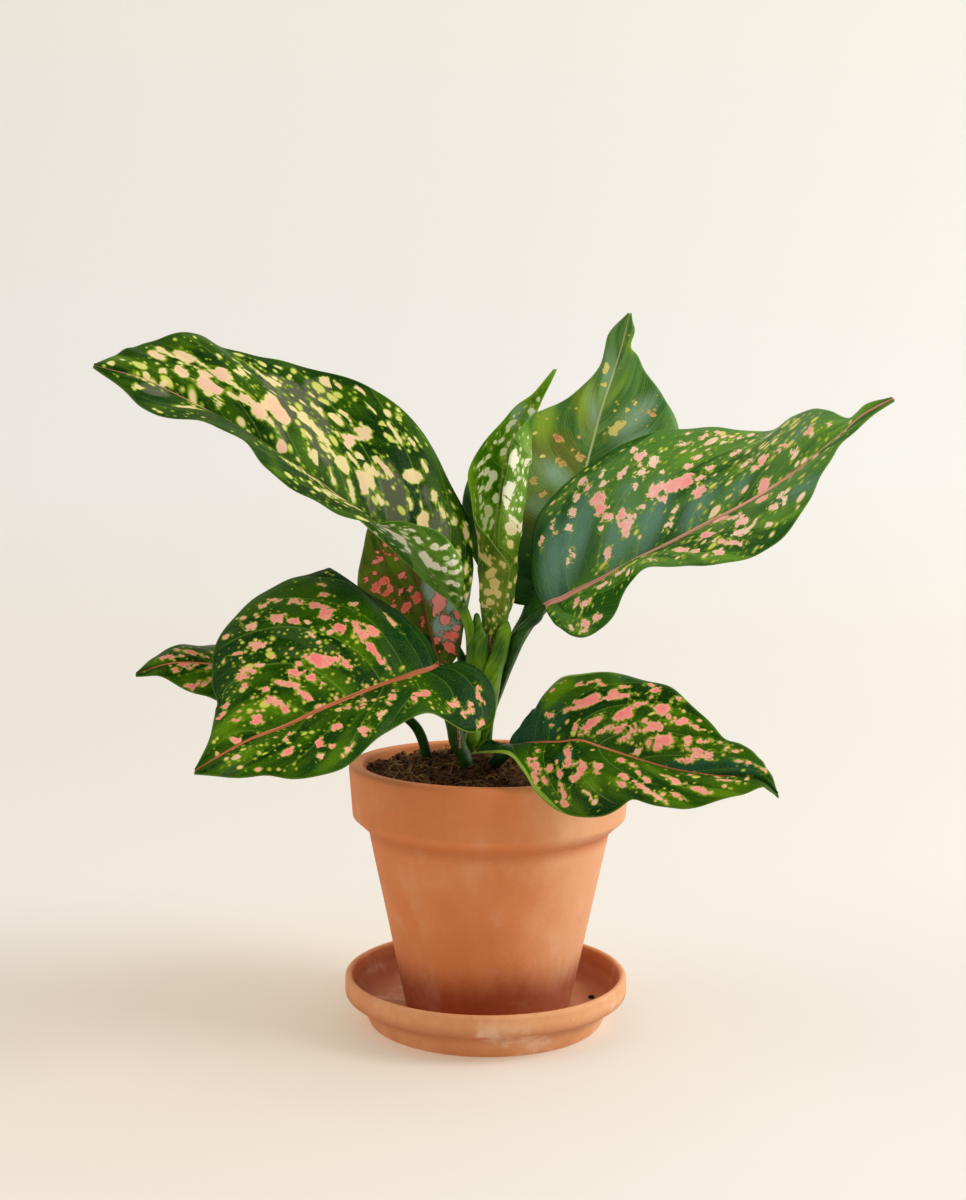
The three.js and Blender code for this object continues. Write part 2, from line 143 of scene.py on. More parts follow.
LEAVES = {
    "blade_upper_left": {
        "rib": 1.5,
        "keel": 3.0,
        "veins": 12,
        "lean": (2.5, 0.6),
        "spots": [
            (10, 0.86, 9, 5, 0.4), (9.5, 0.87, 9, 4, 0.35), (9.2, 0.8, 6, 8, 0.4),
            (10.1, 0.6, 7, 7, 0.5), (9.7, 0.5, 7, 9, 0.75), (9.4, 0.42, 7, 6, 0.85),
            (9.2, 0.62, 7, 6, 0.5), (8.6, 0.62, 9, 8, 0.75), (9, 0.85, 8, 4.5, 0.3),
            (8.8, 0.75, 15, 2.6, 0.2), (8.5, 0.52, 7, 2.4, 0.1), (8.5, 0.42, 5.5, 6, 0.5),
            (8.3, 0.33, 10, 7, 0.7), (8.95, 0.42, 5, 3.4, 0.15), (7.7, 0.42, 17, 9, 0.65),
            (8, 0.1, 7, 5, 0.9), (8.1, 0.25, 8, 3, 0.3), (6.95, 0.53, 9, 8, 0.05),
            (6.72, 0.45, 12, 5, 0), (6.5, 0.3, 10, 7, 0), (6.7, 0.35, 8, 3, 0),
            (7.5, 0.6, 4, 8, 0.05),
            (7.55, 0.72, 5, 4, 0.1), (7.9, 0.68, 5, 5, 0.1), (7, 0.76, 20, 2.2, 0.3),
            (6.8, 0.78, 5, 5, 0.05), (6.35, 0.68, 12, 2.8, 0.15), (6.6, 0.68, 3, 3, 0.1),
            (6, 0.53, 8, 8.5, 0.7), (5.6, 0.61, 9, 10, 0.4), (5.75, 0.72, 5, 6, 0.25),
            (5.5, 0.5, 5, 7, 0.35), (5.35, 0.45, 6, 6, 0.3), (6.15, 0.38, 5, 5, 0.1),
            (6.1, 0.27, 14, 5.5, 0.55), (5.8, 0.3, 11, 5, 0.05), (5.7, 0.4, 6, 4.5, 0.1),
            (5.65, 0.2, 5, 4, 0), (5.15, 0.93, 5, 5, 0.5), (5.15, 0.82, 3.4, 3.4, 0.2),
            (4.95, 0.8, 6, 2.6, 0.05), (4.8, 0.73, 4, 7, 0.3), (4.5, 0.76, 4, 11, 0.3),
            (4.75, 0.55, 8, 11, 0.15), (4.3, 0.66, 6.5, 4.5, 0.25), (4.15, 0.55, 7, 3.5, 0.15),
            (4.5, 0.25, 19, 6.5, 0.5), (5.2, 0.06, 10, 5, 0.15), (4.95, 0.35, 8, 3, 0),
            (3.9, 0.5, 6, 3, 0.2), (3.3, 0.6, 6, 4, 0.2), (4, 0.3, 9, 2.5, 0.1),
            (4.15, 0.1, 7, 3, 0.1), (5.7, 0.04, 8, 3, 0), (6.3, 0.93, 2.4, 7, 0.2),
            (5.7, 0.93, 3, 6, 0.4), (5.2, 0.96, 3, 6, 0.3), (9.85, 0.33, 4.5, 4, 0.15),
            (9.75, 0.22, 3, 4.5, 0.1), (10.8, 0.55, 3.4, 4, 0.05), (11.3, 0.12, 2.6, 6, 0.2),
            (9.6, 0.72, 3, 6, 0.1), (6.4, 0.12, 12, 2.2, 0), (6.9, 0.12, 9, 2.4, 0),
            (7.3, 0.2, 8, 2.4, 0), (7.2, 0.35, 6, 3, 0.1), (6.2, 0.8, 5, 3, 0.1),
            (4.6, 0.4, 7, 2.2, 0), (5, 0.15, 8, 2.2, 0.1), (7.4, -0.3, 23, 2.2, 0.5),
            (7.1, -0.6, 18, 2.6, 0.3), (7.8, -0.4, 14, 2.2, 0.25), (6.9, -0.4, 16, 2.6, 0.4),
            (6.5, -0.4, 14, 3, 0.5), (10.7, -0.4, 14, 3, 0.5), (11.9, -0.55, 4, 3.4, 0.1),
            (5.35, -0.5, 13, 7, 0.1), (5.7, -0.6, 10, 4, 0.1), (4.75, -0.75, 8, 3.4, 0.1),
            (4.3, -0.5, 13, 6, 0.1), (3.9, -0.5, 7, 6, 0.1), (4.1, -0.8, 5, 4.5, 0.1),
            (3.5, -0.9, 3, 7, 0.1), (3, -0.8, 4, 7, 0.1), (2.9, -0.45, 3, 7, 0.1),
            (2.5, -0.5, 3.5, 3.5, 0.1), (2.6, -0.72, 3, 6, 0.1), (5, -0.35, 9, 3, 0.1),
            (3.4, -0.6, 6, 3, 0.1), (2.2, 0.4, 8, 2.4, 0.1), (3, 0.35, 9, 2.6, 0.1),
            (2.6, 0.7, 7, 2.6, 0.1),
        ],
        "bright": [
            (11.6, 0.9, 14, 6), (11.2, -0.85, 12, 6), (4, 0.95, 6, 30), (8.2, 0.95, 5, 30),
            (7.8, -0.9, 4, 26), (6.4, 0.25, 20, 5), (7.4, 0.2, 16, 4),
        ],
        "grey_and_sheen": [
            (7, 0.35, 28, 9), (6.8, 0.62, 44, 26), (5.95, 0.82, 18, 14), (5.95, 0.15, 18, 6),
            (5.3, 0.3, 34, 14), (4, 0.3, 28, 12), (11.6, -0.3, 14, 10), (4.4, 0.5, 10, 5),
            (7.9, 0.25, 14, 4),
        ],
        "crown": (0.06, 0.08),
        "calm": [(11.4, -0.6, 22, 18), (9.6, -0.6, 26, 20), (8, -0.7, 30, 14)],
        "nicks": [
            (0, 7.4, 3, 0.7), (0, 8.8, -1.2, 0.5), (0, 12.2, -1.8, 0.6), (1, 3.6, 1.2, 0.4),
            (1, 6.6, -0.8, 0.3), (1, 8.3, -0.8, 0.6),
        ],
        "rows": [
            [[-13, -14, 207], [-13, -17, 209], [-12, -13, 210], [-0.1, 0.05]],
            [[-14, -14, 209], [-12, -24, 219], [-9, -8, 230], [-0.12, 0.05]],
            [[-17, -15, 212], [-13, -32, 229], [-11, -3, 251], [-0.14, 0.06]],
            [[-23, -17, 216], [-17, -42, 239], [-19, 2, 267], [-0.12, 0.08]],
            [[-31, -20, 223], [-24, -52, 246], [-35, 6, 295], [-0.08, 0.08]],
            [[-43, -24, 235], [-36, -62, 250], [-62, 6, 316], [-0.02, 0.08]],
            [[-58, -29, 249], [-57, -70, 251], [-99, 2, 326]],
            [[-75, -34, 264], [-80, -76, 261], [-126, -9, 332]],
            [[-96, -40, 279], [-100, -78, 276], [-145, -20, 339]],
            [[-110, -43, 288], [-111, -79, 287], [-157, -28, 335]],
            [[-126, -46, 298], [-127, -77, 295], [-165, -34, 331]],
            [[-143, -49, 307], [-149, -73, 297], [-171, -40, 328]],
            [[-160, -52, 315], [-165, -63, 307], [-176, -48, 324]],
            [[-181, -54, 320], [-181, -55, 319], [-181, -53, 321]],
        ],
    },
    "blade_centre": {
        "rib": 1.2,
        "veins": 8,
        "lean": (1.2, 1.2),
        "spots": [
            (7.05, 0.92, 6, 8, 0.05), (6, 0.92, 6, 10, 0.05), (5.6, 0.93, 4, 6, 0.05),
            (5.2, 0.85, 9, 4.4, 0.6), (4.8, 0.82, 9, 7, 0.7), (4.2, 0.85, 7, 4.4, 0.6),
            (7.3, 0.72, 3, 5, 0.6), (6.5, 0.82, 2.6, 4, 0.5), (6.4, 0.68, 3, 3.6, 0.6),
            (5.9, 0.72, 2.6, 3.8, 0.6), (7.5, 0.97, 3, 4, 0.05), (5.6, 0.75, 3, 3, 0.6),
            (8.2, 0.5, 2, 14, 0.5), (5, 0.62, 3, 8, 0.7), (3.5, -0.8, 4, 7, 0.6),
            (2.9, -0.8, 7, 5, 0.6), (3.8, -0.7, 3.4, 5, 0.8), (3.2, -0.95, 3, 4, 0.6),
            (2.1, -0.75, 4.5, 4, 0.5), (1.9, -0.9, 4, 4, 0.5), (1.6, -0.8, 4, 4, 0.5),
            (2.4, -0.85, 6, 6, 0.6), (1.3, -0.7, 3, 3, 0.5), (4.6, -0.8, 4, 6, 0.6),
            (4.2, -0.65, 3, 5, 0.7), (1.5, -0.6, 3.4, 3.4, 0.5), (2.5, -0.55, 4, 4, 0.7),
            (1, -0.85, 3, 3, 0.5), (0.6, -0.7, 2.6, 2.6, 0.5), (3.2, 0.9, 4, 4, 0.6),
            (2.6, 0.85, 4, 4, 0.6), (2.1, 0.9, 3.6, 4, 0.6), (1.5, 0.88, 3, 3, 0.6),
            (3.7, 0.7, 3, 5, 0.7), (2.9, 0.65, 3, 5, 0.7), (2, 0.65, 3, 3, 0.7),
            (6.65, -0.2, 6, 6, 0.5), (6.35, -0.3, 3.4, 7, 0.5), (7.25, -0.48, 2.2, 5, 0.4),
            (6.7, -0.58, 1.8, 7, 0.4), (6.85, -0.38, 2.6, 5, 0.5), (7.5, -0.1, 3.6, 5, 0.3),
            (7.85, -0.04, 3, 4, 0.2), (5.95, -0.06, 4.5, 4.5, 0.3), (5.5, -0.2, 6, 6, 0.9),
            (5.2, -0.25, 3.6, 9, 0.9), (4.9, -0.3, 3, 6, 0.9), (6.2, -0.5, 2.6, 5, 0.5),
            (5.7, -0.4, 2.6, 5, 0.6), (8.65, -0.25, 3.5, 7, 0.1), (8.4, -0.25, 3.5, 4, 0.1),
            (8.5, 0.1, 2.6, 4.4, 0.1), (9.3, 0.2, 3.6, 5, 0.05), (9.4, 0.5, 2.2, 3.4, 0.05),
            (9.9, 0.3, 2, 3, 0.1), (7.9, -0.5, 2.4, 2.4, 0.2), (7, -0.7, 2, 6, 0.4),
            (8, -0.3, 2.4, 3, 0.2), (5, -0.1, 3, 5, 0.9),
        ],
        "bright": [
            (8, 0.8, 8, 20), (7.3, 0.7, 6, 16), (6.5, 0.75, 6, 14), (3.5, -0.95, 4, 20),
            (2.5, -0.7, 10, 20), (5.5, 0.9, 6, 14), (1, -0.7, 9, 9),
        ],
        "grey_and_sheen": [
            (8.9, -0.1, 14, 10), (9, 0.4, 8, 8), (7.9, 0.6, 5, 6),
        ],
        "crown": (-0.12, -0.5),
        "nicks": [
            (0, 7.5, -0.6, 0.8), (0, 9, -1.2, 0.5), (1, 10, -2, 0.6),
        ],
        "rows": [
            [[3, 2, 196], [1, -4, 196], [7, -4, 196], [-0.3, -0.3]],
            [[3, 6, 203], [7, -8, 205], [5, -5, 203], [-0.5, -0.5]],
            [[3, 9, 211], [9, -11, 216], [6, -7, 212], [-0.5, -0.5]],
            [[3, 11, 222], [10, -14, 228], [5, -9, 225], [-0.45, -0.5]],
            [[3, 12, 234], [2, -15, 239], [4, -10, 238], [-0.3, -0.5]],
            [[3, 13, 248], [-7, -12, 251], [5, -11, 250], [-0.14, -0.52]],
            [[5, 13, 262], [-10, -8, 267], [7, -12, 266]],
            [[7, 12, 277], [-8, -6, 280], [9, -12, 280]],
            [[11, 11, 290], [-1, -5, 291], [11, -11, 289]],
            [[16, 8, 302], [9, -2, 302], [20, -6, 300], [-0.1, -0.35]],
            [[23, 6, 312], [20, 1, 311], [26, 0, 308], [-0.08, -0.2]],
            [[32, 3, 324], [31, 3, 324], [33, 3, 324], [0, 0]],
        ],
    },
    "blade_upper_back": {
        "rib": 1.4,
        "veins": 8,
        "lean": (1.8, 1.8),
        "spots": [
            (6.1, -0.42, 5, 4.4, 0.9), (5.5, -0.25, 5, 4.4, 0.9), (5.7, -0.1, 8, 3.4, 0.8),
            (6.75, 0.75, 3, 6, 1), (6.4, 0.3, 10, 2.6, 0.1), (6.5, 0.24, 9, 3.4, 0.05),
            (6.9, 0.42, 2.6, 2.4, 0.1), (7.1, 0.6, 2, 2, 0.1), (6.6, 0.55, 2, 2, 0.2),
            (5, -0.42, 3, 3, 0.9), (4.7, -0.3, 3, 3, 0.6), (7.7, -0.3, 2.4, 3, 0.1),
            (6.1, -0.75, 2.6, 2.6, 0), (5.2, -0.62, 4, 3, 0.1), (5.6, -0.5, 3, 2, 0.1),
            (8.1, -0.55, 4, 2, 0),
        ],
        "bright": [
            (6.3, -0.85, 26, 16), (5.2, -0.8, 24, 12), (7.2, -0.55, 20, 12), (6.4, 0.28, 18, 6),
            (7.6, 0.2, 16, 5), (4.3, -0.6, 16, 8), (8.9, 0.5, 8, 12), (3.2, -0.9, 10, 20),
        ],
        "grey_and_sheen": [
            (6.7, 0.55, 26, 11), (5.2, -0.25, 18, 10), (4.2, -0.2, 18, 9), (7.9, -0.15, 18, 5),
            (6.9, -0.15, 14, 4), (5.9, 0.5, 20, 8),
        ],
        "crown": (0.06, 0.06),
        "calm": [(5.6, -0.35, 34, 26), (4.2, -0.3, 34, 26), (6.8, -0.2, 24, 12)],
        "nicks": [
            (0, 7, -1.3, 0.4), (0, 8.6, -0.8, 0.4), (1, 8.75, -2.7, 0.28), (1, 9.35, 0.9, 0.25),
        ],
        "rows": [
            [[30, 17, 208], [27, 16, 207], [33, 16, 208]],
            [[32, 18, 214], [12, 14, 208], [43, 12, 215]],
            [[34, 20, 224], [1, 18, 217], [60, 14, 227]],
            [[38, 24, 237], [-10, 23, 235], [76, 18, 242]],
            [[42, 29, 252], [-14, 30, 257], [89, 24, 260]],
            [[48, 35, 270], [-7, 37, 277], [96, 31, 279]],
            [[53, 41, 288], [12, 43, 297], [97, 38, 297]],
            [[58, 46, 306], [40, 48, 313], [90, 44, 313]],
            [[64, 50, 324], [57, 52, 329], [79, 49, 329]],
            [[69, 52, 341], [61, 53, 345], [75, 50, 343]],
            [[72, 47, 356], [71, 47, 356], [73, 47, 356]],
        ],
    },
    "blade_right": {
        "rib": 2.6,
        "veins": 10,
        "lean": (3.3, 2.2),
        "spots": [
            (6.25, -0.43, 9, 6.5, 0.6), (6.65, -0.42, 12, 8, 0.8), (6.95, -0.44, 10, 8, 1),
            (7.15, -0.28, 8, 6, 0.8), (7.25, -0.42, 6, 3.6, 0.7), (6.4, -0.32, 5, 3.6, 0.5),
            (4.95, -0.6, 9, 8, 0.75), (5, -0.48, 8, 6.5, 0.95), (5.1, -0.41, 5, 5, 0.6),
            (5.4, -0.36, 9, 5, 0.8), (5.5, -0.27, 13, 5, 0.55), (5.9, -0.33, 5, 2.6, 0.3),
            (5.8, -0.77, 8, 6.5, 0.5), (5.5, -0.7, 8, 4, 0.45), (5.95, -0.62, 7, 4, 0.1),
            (6.15, -0.66, 6, 3.6, 0.1), (6.15, -0.75, 5, 3.4, 0.05), (6.4, -0.58, 4.4, 2.4, 0.3),
            (6.95, -0.6, 5.5, 4.5, 0.5), (7.45, -0.55, 8, 3, 0.6), (7, -0.9, 9, 2.4, 0.7),
            (7.15, -0.93, 3, 4, 0.7), (6.6, -0.94, 4, 2.4, 0.7), (6.55, -0.85, 4.4, 2.2, 0.2),
            (7.8, -0.68, 7, 3, 0.5), (7.7, -0.9, 6.5, 2, 0.7), (8.6, -0.38, 8, 4, 0.8),
            (8.4, -0.32, 5, 5, 0.4), (9.1, -0.45, 9, 3, 0.8), (9.8, -0.55, 4.6, 3.6, 0.9),
            (8.5, -0.1, 8, 5.5, 0.9), (8.2, -0.5, 5, 3.6, 0.4), (7.4, -0.82, 3.4, 2.6, 0.1),
            (3.75, -0.3, 6.5, 2.8, 0.35), (3.6, -0.56, 3.4, 2.8, 0.8), (3.1, -0.65, 5.5, 1.8, 0.8),
            (3.6, -0.7, 4, 2.6, 0.3), (4.25, -0.62, 5, 4, 0.2), (4.1, -0.52, 5, 4, 0.2),
            (4.4, -0.75, 6, 4, 0.3), (4.5, -0.82, 5, 3.4, 0.6), (4.7, -0.72, 5.5, 2.6, 0.9),
            (5, -0.78, 3.6, 3, 0.1), (5.1, -0.66, 4, 3.4, 0.1), (5.55, -0.88, 3.4, 3.4, 0.3),
            (5.8, -0.52, 7, 2.6, 0.3), (4.7, -0.13, 9, 3.2, 0.6), (6.3, -0.12, 12, 2.2, 0.2),
            (4.85, -0.33, 3, 2.4, 0.2), (9.5, -0.3, 4, 2, 0.2), (8.9, -0.7, 5, 1.8, 0.2),
            (10.4, -0.6, 4, 1.6, 0.2), (7.45, 0.1, 11, 3.4, 0.9), (7.75, 0.25, 8, 4, 0.6),
            (7.85, 0.45, 6, 6, 0.45), (7.7, 0.6, 8, 4.6, 0.2), (7.1, 0.33, 10, 4, 0.9),
            (7.25, 0.65, 8, 2.4, 0.7), (7.45, 0.75, 6, 2.4, 0.5), (8.45, 0.2, 9, 4, 0.9),
            (8.5, 0.6, 6.5, 5, 0.3), (8.75, 0.5, 3.4, 4, 0.2), (8.75, 0.63, 3.4, 4.4, 0.2),
            (8.2, 0.73, 4, 2.8, 0.2), (9.15, 0.12, 6, 2, 0.9), (6.4, 0.55, 9, 2.6, 0.8),
            (6.7, 0.62, 4, 1.6, 0.7), (5.6, 0.7, 5, 1.6, 0.6), (3.25, 0.5, 6, 4.4, 0.8),
            (2.7, 0.76, 4.6, 4, 0.8), (3.1, 0.85, 4, 3.8, 0.8), (2.1, 0.72, 4.4, 1.6, 0.1),
            (3, 0.3, 3.4, 2, 0.8), (4.15, 0.5, 10, 2, 0.3), (4.7, 0.6, 8, 1.6, 0.3),
            (2.4, 0.9, 2.6, 2, 0.1), (7, 0.8, 5, 1.6, 0.5),
        ],
        "bright": [
            (8.5, -0.85, 36, 9), (11.5, -0.5, 26, 8), (7.6, -0.88, 22, 6), (7, 0.92, 46, 5),
            (8.5, 0.9, 28, 6), (9.7, 0.3, 14, 6), (7.9, -0.45, 18, 8), (10.4, -0.6, 18, 7),
            (6.9, -0.7, 10, 8),
        ],
        "grey_and_sheen": [
            (3.2, -0.4, 40, 12), (4.2, -0.42, 50, 15), (5.2, -0.2, 34, 14), (6, -0.2, 34, 13),
            (7.1, -0.15, 26, 11), (8, -0.2, 12, 6), (5.7, -0.55, 9, 6), (9.6, -0.6, 16, 6),
            (6.3, -0.5, 8, 6), (9.2, 0.8, 16, 6),
        ],
        "crown": (0.08, 0.08),
        "calm": [(2, -0.6, 60, 36), (4, -0.35, 40, 26)],
        "nicks": [
            (0, 6.8, 0.6, 0.4), (0, 8.7, -1.5, 0.4), (0, 10, -0.9, 0.25), (1, 0.8, 3, 0.5),
            (1, 1.5, 1.2, 0.3), (1, 4.3, -2.8, 0.45), (1, 5.5, -1.2, 0.3), (1, 8, -1.2, 0.8),
            (1, 9.4, -1.8, 0.4), (1, 10.5, -1.6, 0.3),
        ],
        "rows": [
            [[28, -8, 208], [27, -6, 210], [28, -10, 207]],
            [[31, -9, 210], [22, 1, 221], [33, -20, 201]],
            [[36, -11, 212], [21, 8, 237], [44, -30, 195]],
            [[43, -14, 216], [25, 14, 253], [55, -40, 202]],
            [[54, -19, 222], [39, 18, 268], [62, -48, 215]],
            [[67, -26, 230], [61, 18, 285], [71, -58, 229]],
            [[83, -34, 239], [85, 14, 294], [88, -70, 232]],
            [[100, -42, 249], [110, 6, 296], [109, -80, 234]],
            [[119, -50, 260], [132, -8, 294], [128, -86, 244]],
            [[135, -56, 271], [144, -23, 301], [141, -86, 263]],
            [[148, -61, 282], [155, -43, 304], [150, -80, 280]],
            [[159, -65, 292], [164, -58, 299], [161, -74, 291]],
            [[169, -68, 301], [169, -65, 305], [171, -71, 300]],
            [[180, -70, 307], [179, -69, 308], [180, -71, 306]],
        ],
    },
    "blade_lower_left": {
        "rib": 2.7,
        "veins": 9,
        "lean": (2.4, 3.2),
        "spots": [
            (6, 0.6, 6, 9, 0.9), (6.05, 0.66, 7, 4, 0.85), (5.9, 0.43, 6.5, 6, 0.85),
            (5.5, 0.42, 6.5, 2.4, 0.85), (5.4, 0.36, 8, 3.4, 0.8), (5.05, 0.33, 7, 4.6, 0.9),
            (5.35, 0.57, 3.6, 2.6, 0.4), (4.1, 0.48, 8, 2.6, 0.6), (5.15, 0.2, 18, 3.4, 0.95),
            (5.75, 0.72, 3.8, 2.6, 0.7), (6.35, 0.78, 7, 4, 0.5), (6.6, 0.9, 4.4, 3.2, 0.2),
            (6.8, 0.88, 3.2, 3, 0.4), (6.95, 0.72, 8, 6.5, 0.5), (6.65, 0.65, 4.6, 4.4, 0.85),
            (7.3, 0.86, 6, 5.6, 0.3), (7.25, 0.95, 3.4, 2.6, 0.3), (7.7, 0.93, 3.6, 2.6, 0.5),
            (7.6, 0.68, 8, 6, 0.45), (7.9, 0.8, 3.6, 2.2, 0.6), (8.15, 0.88, 3, 2.2, 0.8),
            (8.2, 0.68, 4.6, 2, 0.8), (7.95, 0.57, 6.5, 2, 0.5), (8.25, 0.62, 8.5, 2.2, 0.85),
            (7.2, 0.36, 4.6, 3.4, 0.9), (6.75, 0.3, 11, 6.5, 0.9), (6.45, 0.24, 8, 3, 0.75),
            (7, 0.22, 8.5, 4, 0.85), (7.35, 0.28, 5.5, 4, 0.9), (7.55, 0.27, 9.5, 2.8, 0.85),
            (7.35, 0.13, 6.5, 2.8, 0.85), (8.45, 0.57, 4.4, 2.4, 0.8), (8.2, 0.4, 3.6, 2.6, 0.8),
            (8.15, 0.25, 5.5, 3.6, 0.8), (7.9, 0.17, 6, 2.8, 0.7), (9.05, 0.8, 3, 3, 0.9),
            (9.3, 0.8, 4.6, 2.8, 0.8), (8.7, 0.15, 6, 4.6, 0.95), (7.95, 0.12, 5, 3.8, 0.9),
            (9.15, 0.4, 3.6, 2.2, 0.9), (9.4, 0.12, 3, 2.4, 0.8), (6.05, 0.2, 8, 2.8, 0.8),
            (6.6, 0.47, 3.8, 3.4, 0.1), (5.6, 0.82, 4, 3, 0.2), (4.75, 0.92, 5, 2.2, 0.6),
            (4.2, 0.93, 4, 2, 0.4), (6.3, 0.5, 2.4, 2, 0.1), (6.5, 0.56, 2.2, 2, 0.1),
            (4.55, -0.5, 9, 4, 0.9), (4.9, -0.6, 15, 2.6, 0.9), (5.5, -0.5, 10, 3, 0.8),
            (6.15, -0.33, 4, 2.6, 0.9), (6.5, -0.22, 3.4, 2.6, 0.95), (6.95, -0.42, 5.5, 4.6, 0.9),
            (6.35, -0.8, 5.5, 2.6, 0.7), (6.4, -0.7, 5.5, 1.8, 0.4), (6.8, -0.85, 5, 1.8, 0.4),
            (7.4, -0.6, 5, 3.2, 0.95), (7.2, -0.68, 3.2, 2.6, 0.8), (8.2, -0.62, 6, 3.8, 0.95),
            (7.3, -0.06, 4, 2, 0.9), (8, -0.25, 2.8, 2, 0.9), (8.2, -0.35, 2.4, 2, 0.9),
            (3.75, -0.6, 3.6, 3, 0.8), (3.8, -0.75, 3, 2.2, 0.8), (3.5, -0.75, 4.6, 2.4, 0.8),
            (2.8, -0.7, 6.5, 2.4, 0.85), (2.5, -0.65, 2.4, 1.8, 0.8), (3.4, -0.9, 3, 2.2, 0.8),
            (3.7, -0.92, 4, 2.6, 0.7), (4.2, -0.65, 6, 2.4, 0.85), (5.9, -0.7, 7, 1.6, 0.3),
            (7.4, -0.8, 3, 2, 0.2),
        ],
        "bright": [
            (8.8, 0.4, 22, 14), (9.3, -0.6, 18, 12), (8, -0.9, 30, 7), (6.5, 0.13, 20, 8),
            (9.6, 0.5, 16, 14), (7.2, -0.85, 24, 7), (5.6, 0.2, 12, 5), (8.2, 0.2, 16, 8),
        ],
        "grey_and_sheen": [
            (6.9, 0.6, 22, 9), (6.6, 0.4, 24, 8), (7.6, 0.97, 20, 4), (5.5, 0.9, 14, 4),
            (7.2, 0.45, 16, 6), (6, -0.92, 16, 5), (9.5, -0.85, 10, 5), (4.6, 0.55, 18, 5),
            (6, -0.2, 10, 5),
        ],
        "crown": (0.08, 0.09),
        "calm": [
            (1.5, -0.55, 40, 34), (3, -0.5, 40, 30), (1.8, 0.55, 40, 30), (3.2, 0.8, 34, 30),
            (3.8, 0.3, 30, 18), (4.8, 0.75, 26, 24), (7, -0.9, 36, 22), (5.6, -0.75, 30, 14),
        ],
        "curls": [(0, 3.2, 5.6, 0.7)],
        "nicks": [
            (0, 5, -0.9, 0.3), (0, 8.5, -2.8, 0.4), (0, 9.4, 0.9, 0.4), (1, 4.55, -1.2, 0.2),
            (1, 4.9, 1.7, 0.14), (1, 5.5, -1.3, 0.3), (1, 8.72, 1.8, 0.14), (1, 9, -2.3, 0.16),
            (1, 9.35, -1, 0.25),
        ],
        "rows": [
            [[-23, -44, 183], [-20, -45, 182], [-24, -43, 184]],
            [[-25, -45, 182], [-8, -40, 183], [-29, -34, 191]],
            [[-28, -47, 181], [2, -42, 173], [-36, -26, 199]],
            [[-33, -50, 180], [2, -50, 158], [-48, -20, 208]],
            [[-40, -54, 178], [-8, -62, 154], [-62, -16, 216]],
            [[-50, -60, 175], [-26, -78, 165], [-78, -16, 226]],
            [[-62, -68, 171], [-46, -92, 158], [-98, -22, 220]],
            [[-76, -76, 166], [-65, -104, 144], [-116, -34, 209]],
            [[-90, -84, 160], [-85, -110, 141], [-127, -52, 190]],
            [[-105, -92, 155], [-104, -112, 142], [-124, -72, 170]],
            [[-117, -99, 149], [-117, -108, 142], [-122, -92, 157]],
            [[-127, -104, 143], [-127, -105, 142], [-127, -103, 144]],
        ],
    },
    "blade_far_left": {
        "rib": 1.4,
        "veins": 6,
        "lean": (1.4, 1.4),
        "spots": [
            (5.9, 0.45, 4.6, 2.2, 0.9), (5.1, 0.42, 7.5, 2, 0.9), (5.5, 0.28, 2, 1.6, 0.8),
            (5.6, -0.12, 3.6, 2.2, 0.9), (5.4, -0.03, 4, 1.8, 0.9), (5.2, -0.12, 4, 1.4, 0.9),
            (5.75, -0.4, 3.2, 1.6, 0.9), (4.8, 0.03, 3, 1.6, 0.9), (4.85, -0.2, 5.5, 1.8, 0.9),
            (5, -0.8, 9, 2.2, 0.9), (4.4, 0.4, 5, 2.4, 0.9), (4.2, -0.4, 5, 2.4, 0.9),
            (3.6, 0.3, 6, 3, 0.9), (3.4, -0.5, 5, 3, 0.8), (3, 0.6, 5, 3, 0.8),
            (2.6, -0.3, 4, 3, 0.9),
            (5.3, 0.7, 3, 1.4, 0.7),
        ],
        "bright": [
            (6.3, 0.2, 16, 8), (6.4, -0.5, 12, 6), (4.8, 0.9, 4, 26), (5, -0.95, 3, 20),
            (4.4, 0.7, 8, 6),
        ],
        "grey_and_sheen": [
            (3.8, 0.1, 10, 6),
        ],
        "crown": (0.08, 0.08),
        "nicks": [
            (0, 4, 1.1, 0.3), (0, 6.1, -1.3, 0.6), (1, 4.2, -1.8, 0.5), (1, 5.5, 0.6, 0.3),
        ],
        "rows": [
            [[-77, -20, 163], [-76, -21, 161], [-78, -20, 165]],
            [[-81, -21, 165], [-83, -30, 158], [-88, -14, 174]],
            [[-91, -23, 169], [-95, -38, 159], [-105, -8, 183]],
            [[-105, -26, 174], [-110, -42, 160], [-122, -8, 188]],
            [[-121, -30, 179], [-127, -42, 166], [-138, -14, 189]],
            [[-137, -34, 182], [-140, -42, 169], [-149, -24, 189]],
            [[-151, -38, 182], [-154, -42, 175], [-159, -33, 185]],
            [[-166, -40, 177], [-166, -41, 176], [-166, -39, 178]],
        ],
    },
    "blade_middle_back": {
        "rib": 1.4,
        "veins": 7,
        "lean": (1.6, 1.6),
        "spots": [
            (4.2, -0.62, 4.4, 8, 0.9), (3.9, -0.58, 4, 8, 1), (3.95, -0.75, 4, 5, 0.9),
            (4.55, -0.35, 3, 4, 0.6), (4.75, -0.28, 2.6, 2.4, 0.6), (5.1, -0.45, 2, 2, 0.5),
            (4.7, -0.75, 2, 7, 0.5), (4.25, -0.8, 1.8, 2, 0.5), (3.9, -0.9, 2, 3, 0.6),
            (4.35, -0.2, 2.6, 2.6, 0.7), (4.05, -0.12, 5, 7.5, 1), (3.7, -0.3, 4, 9, 1),
            (3.6, -0.5, 2.6, 3.4, 0.9), (4.1, -0.4, 2, 3, 0.8), (5.3, -0.6, 2.4, 5, 0.6),
            (6, -0.3, 3, 5, 0.6), (3.2, -0.1, 3, 5, 1), (3.1, -0.6, 3, 5, 0.9),
            (3.75, 0.3, 7.5, 8.5, 0.1), (4, 0.34, 6, 5.5, 0.1), (3.4, 0.27, 5, 5, 0.15),
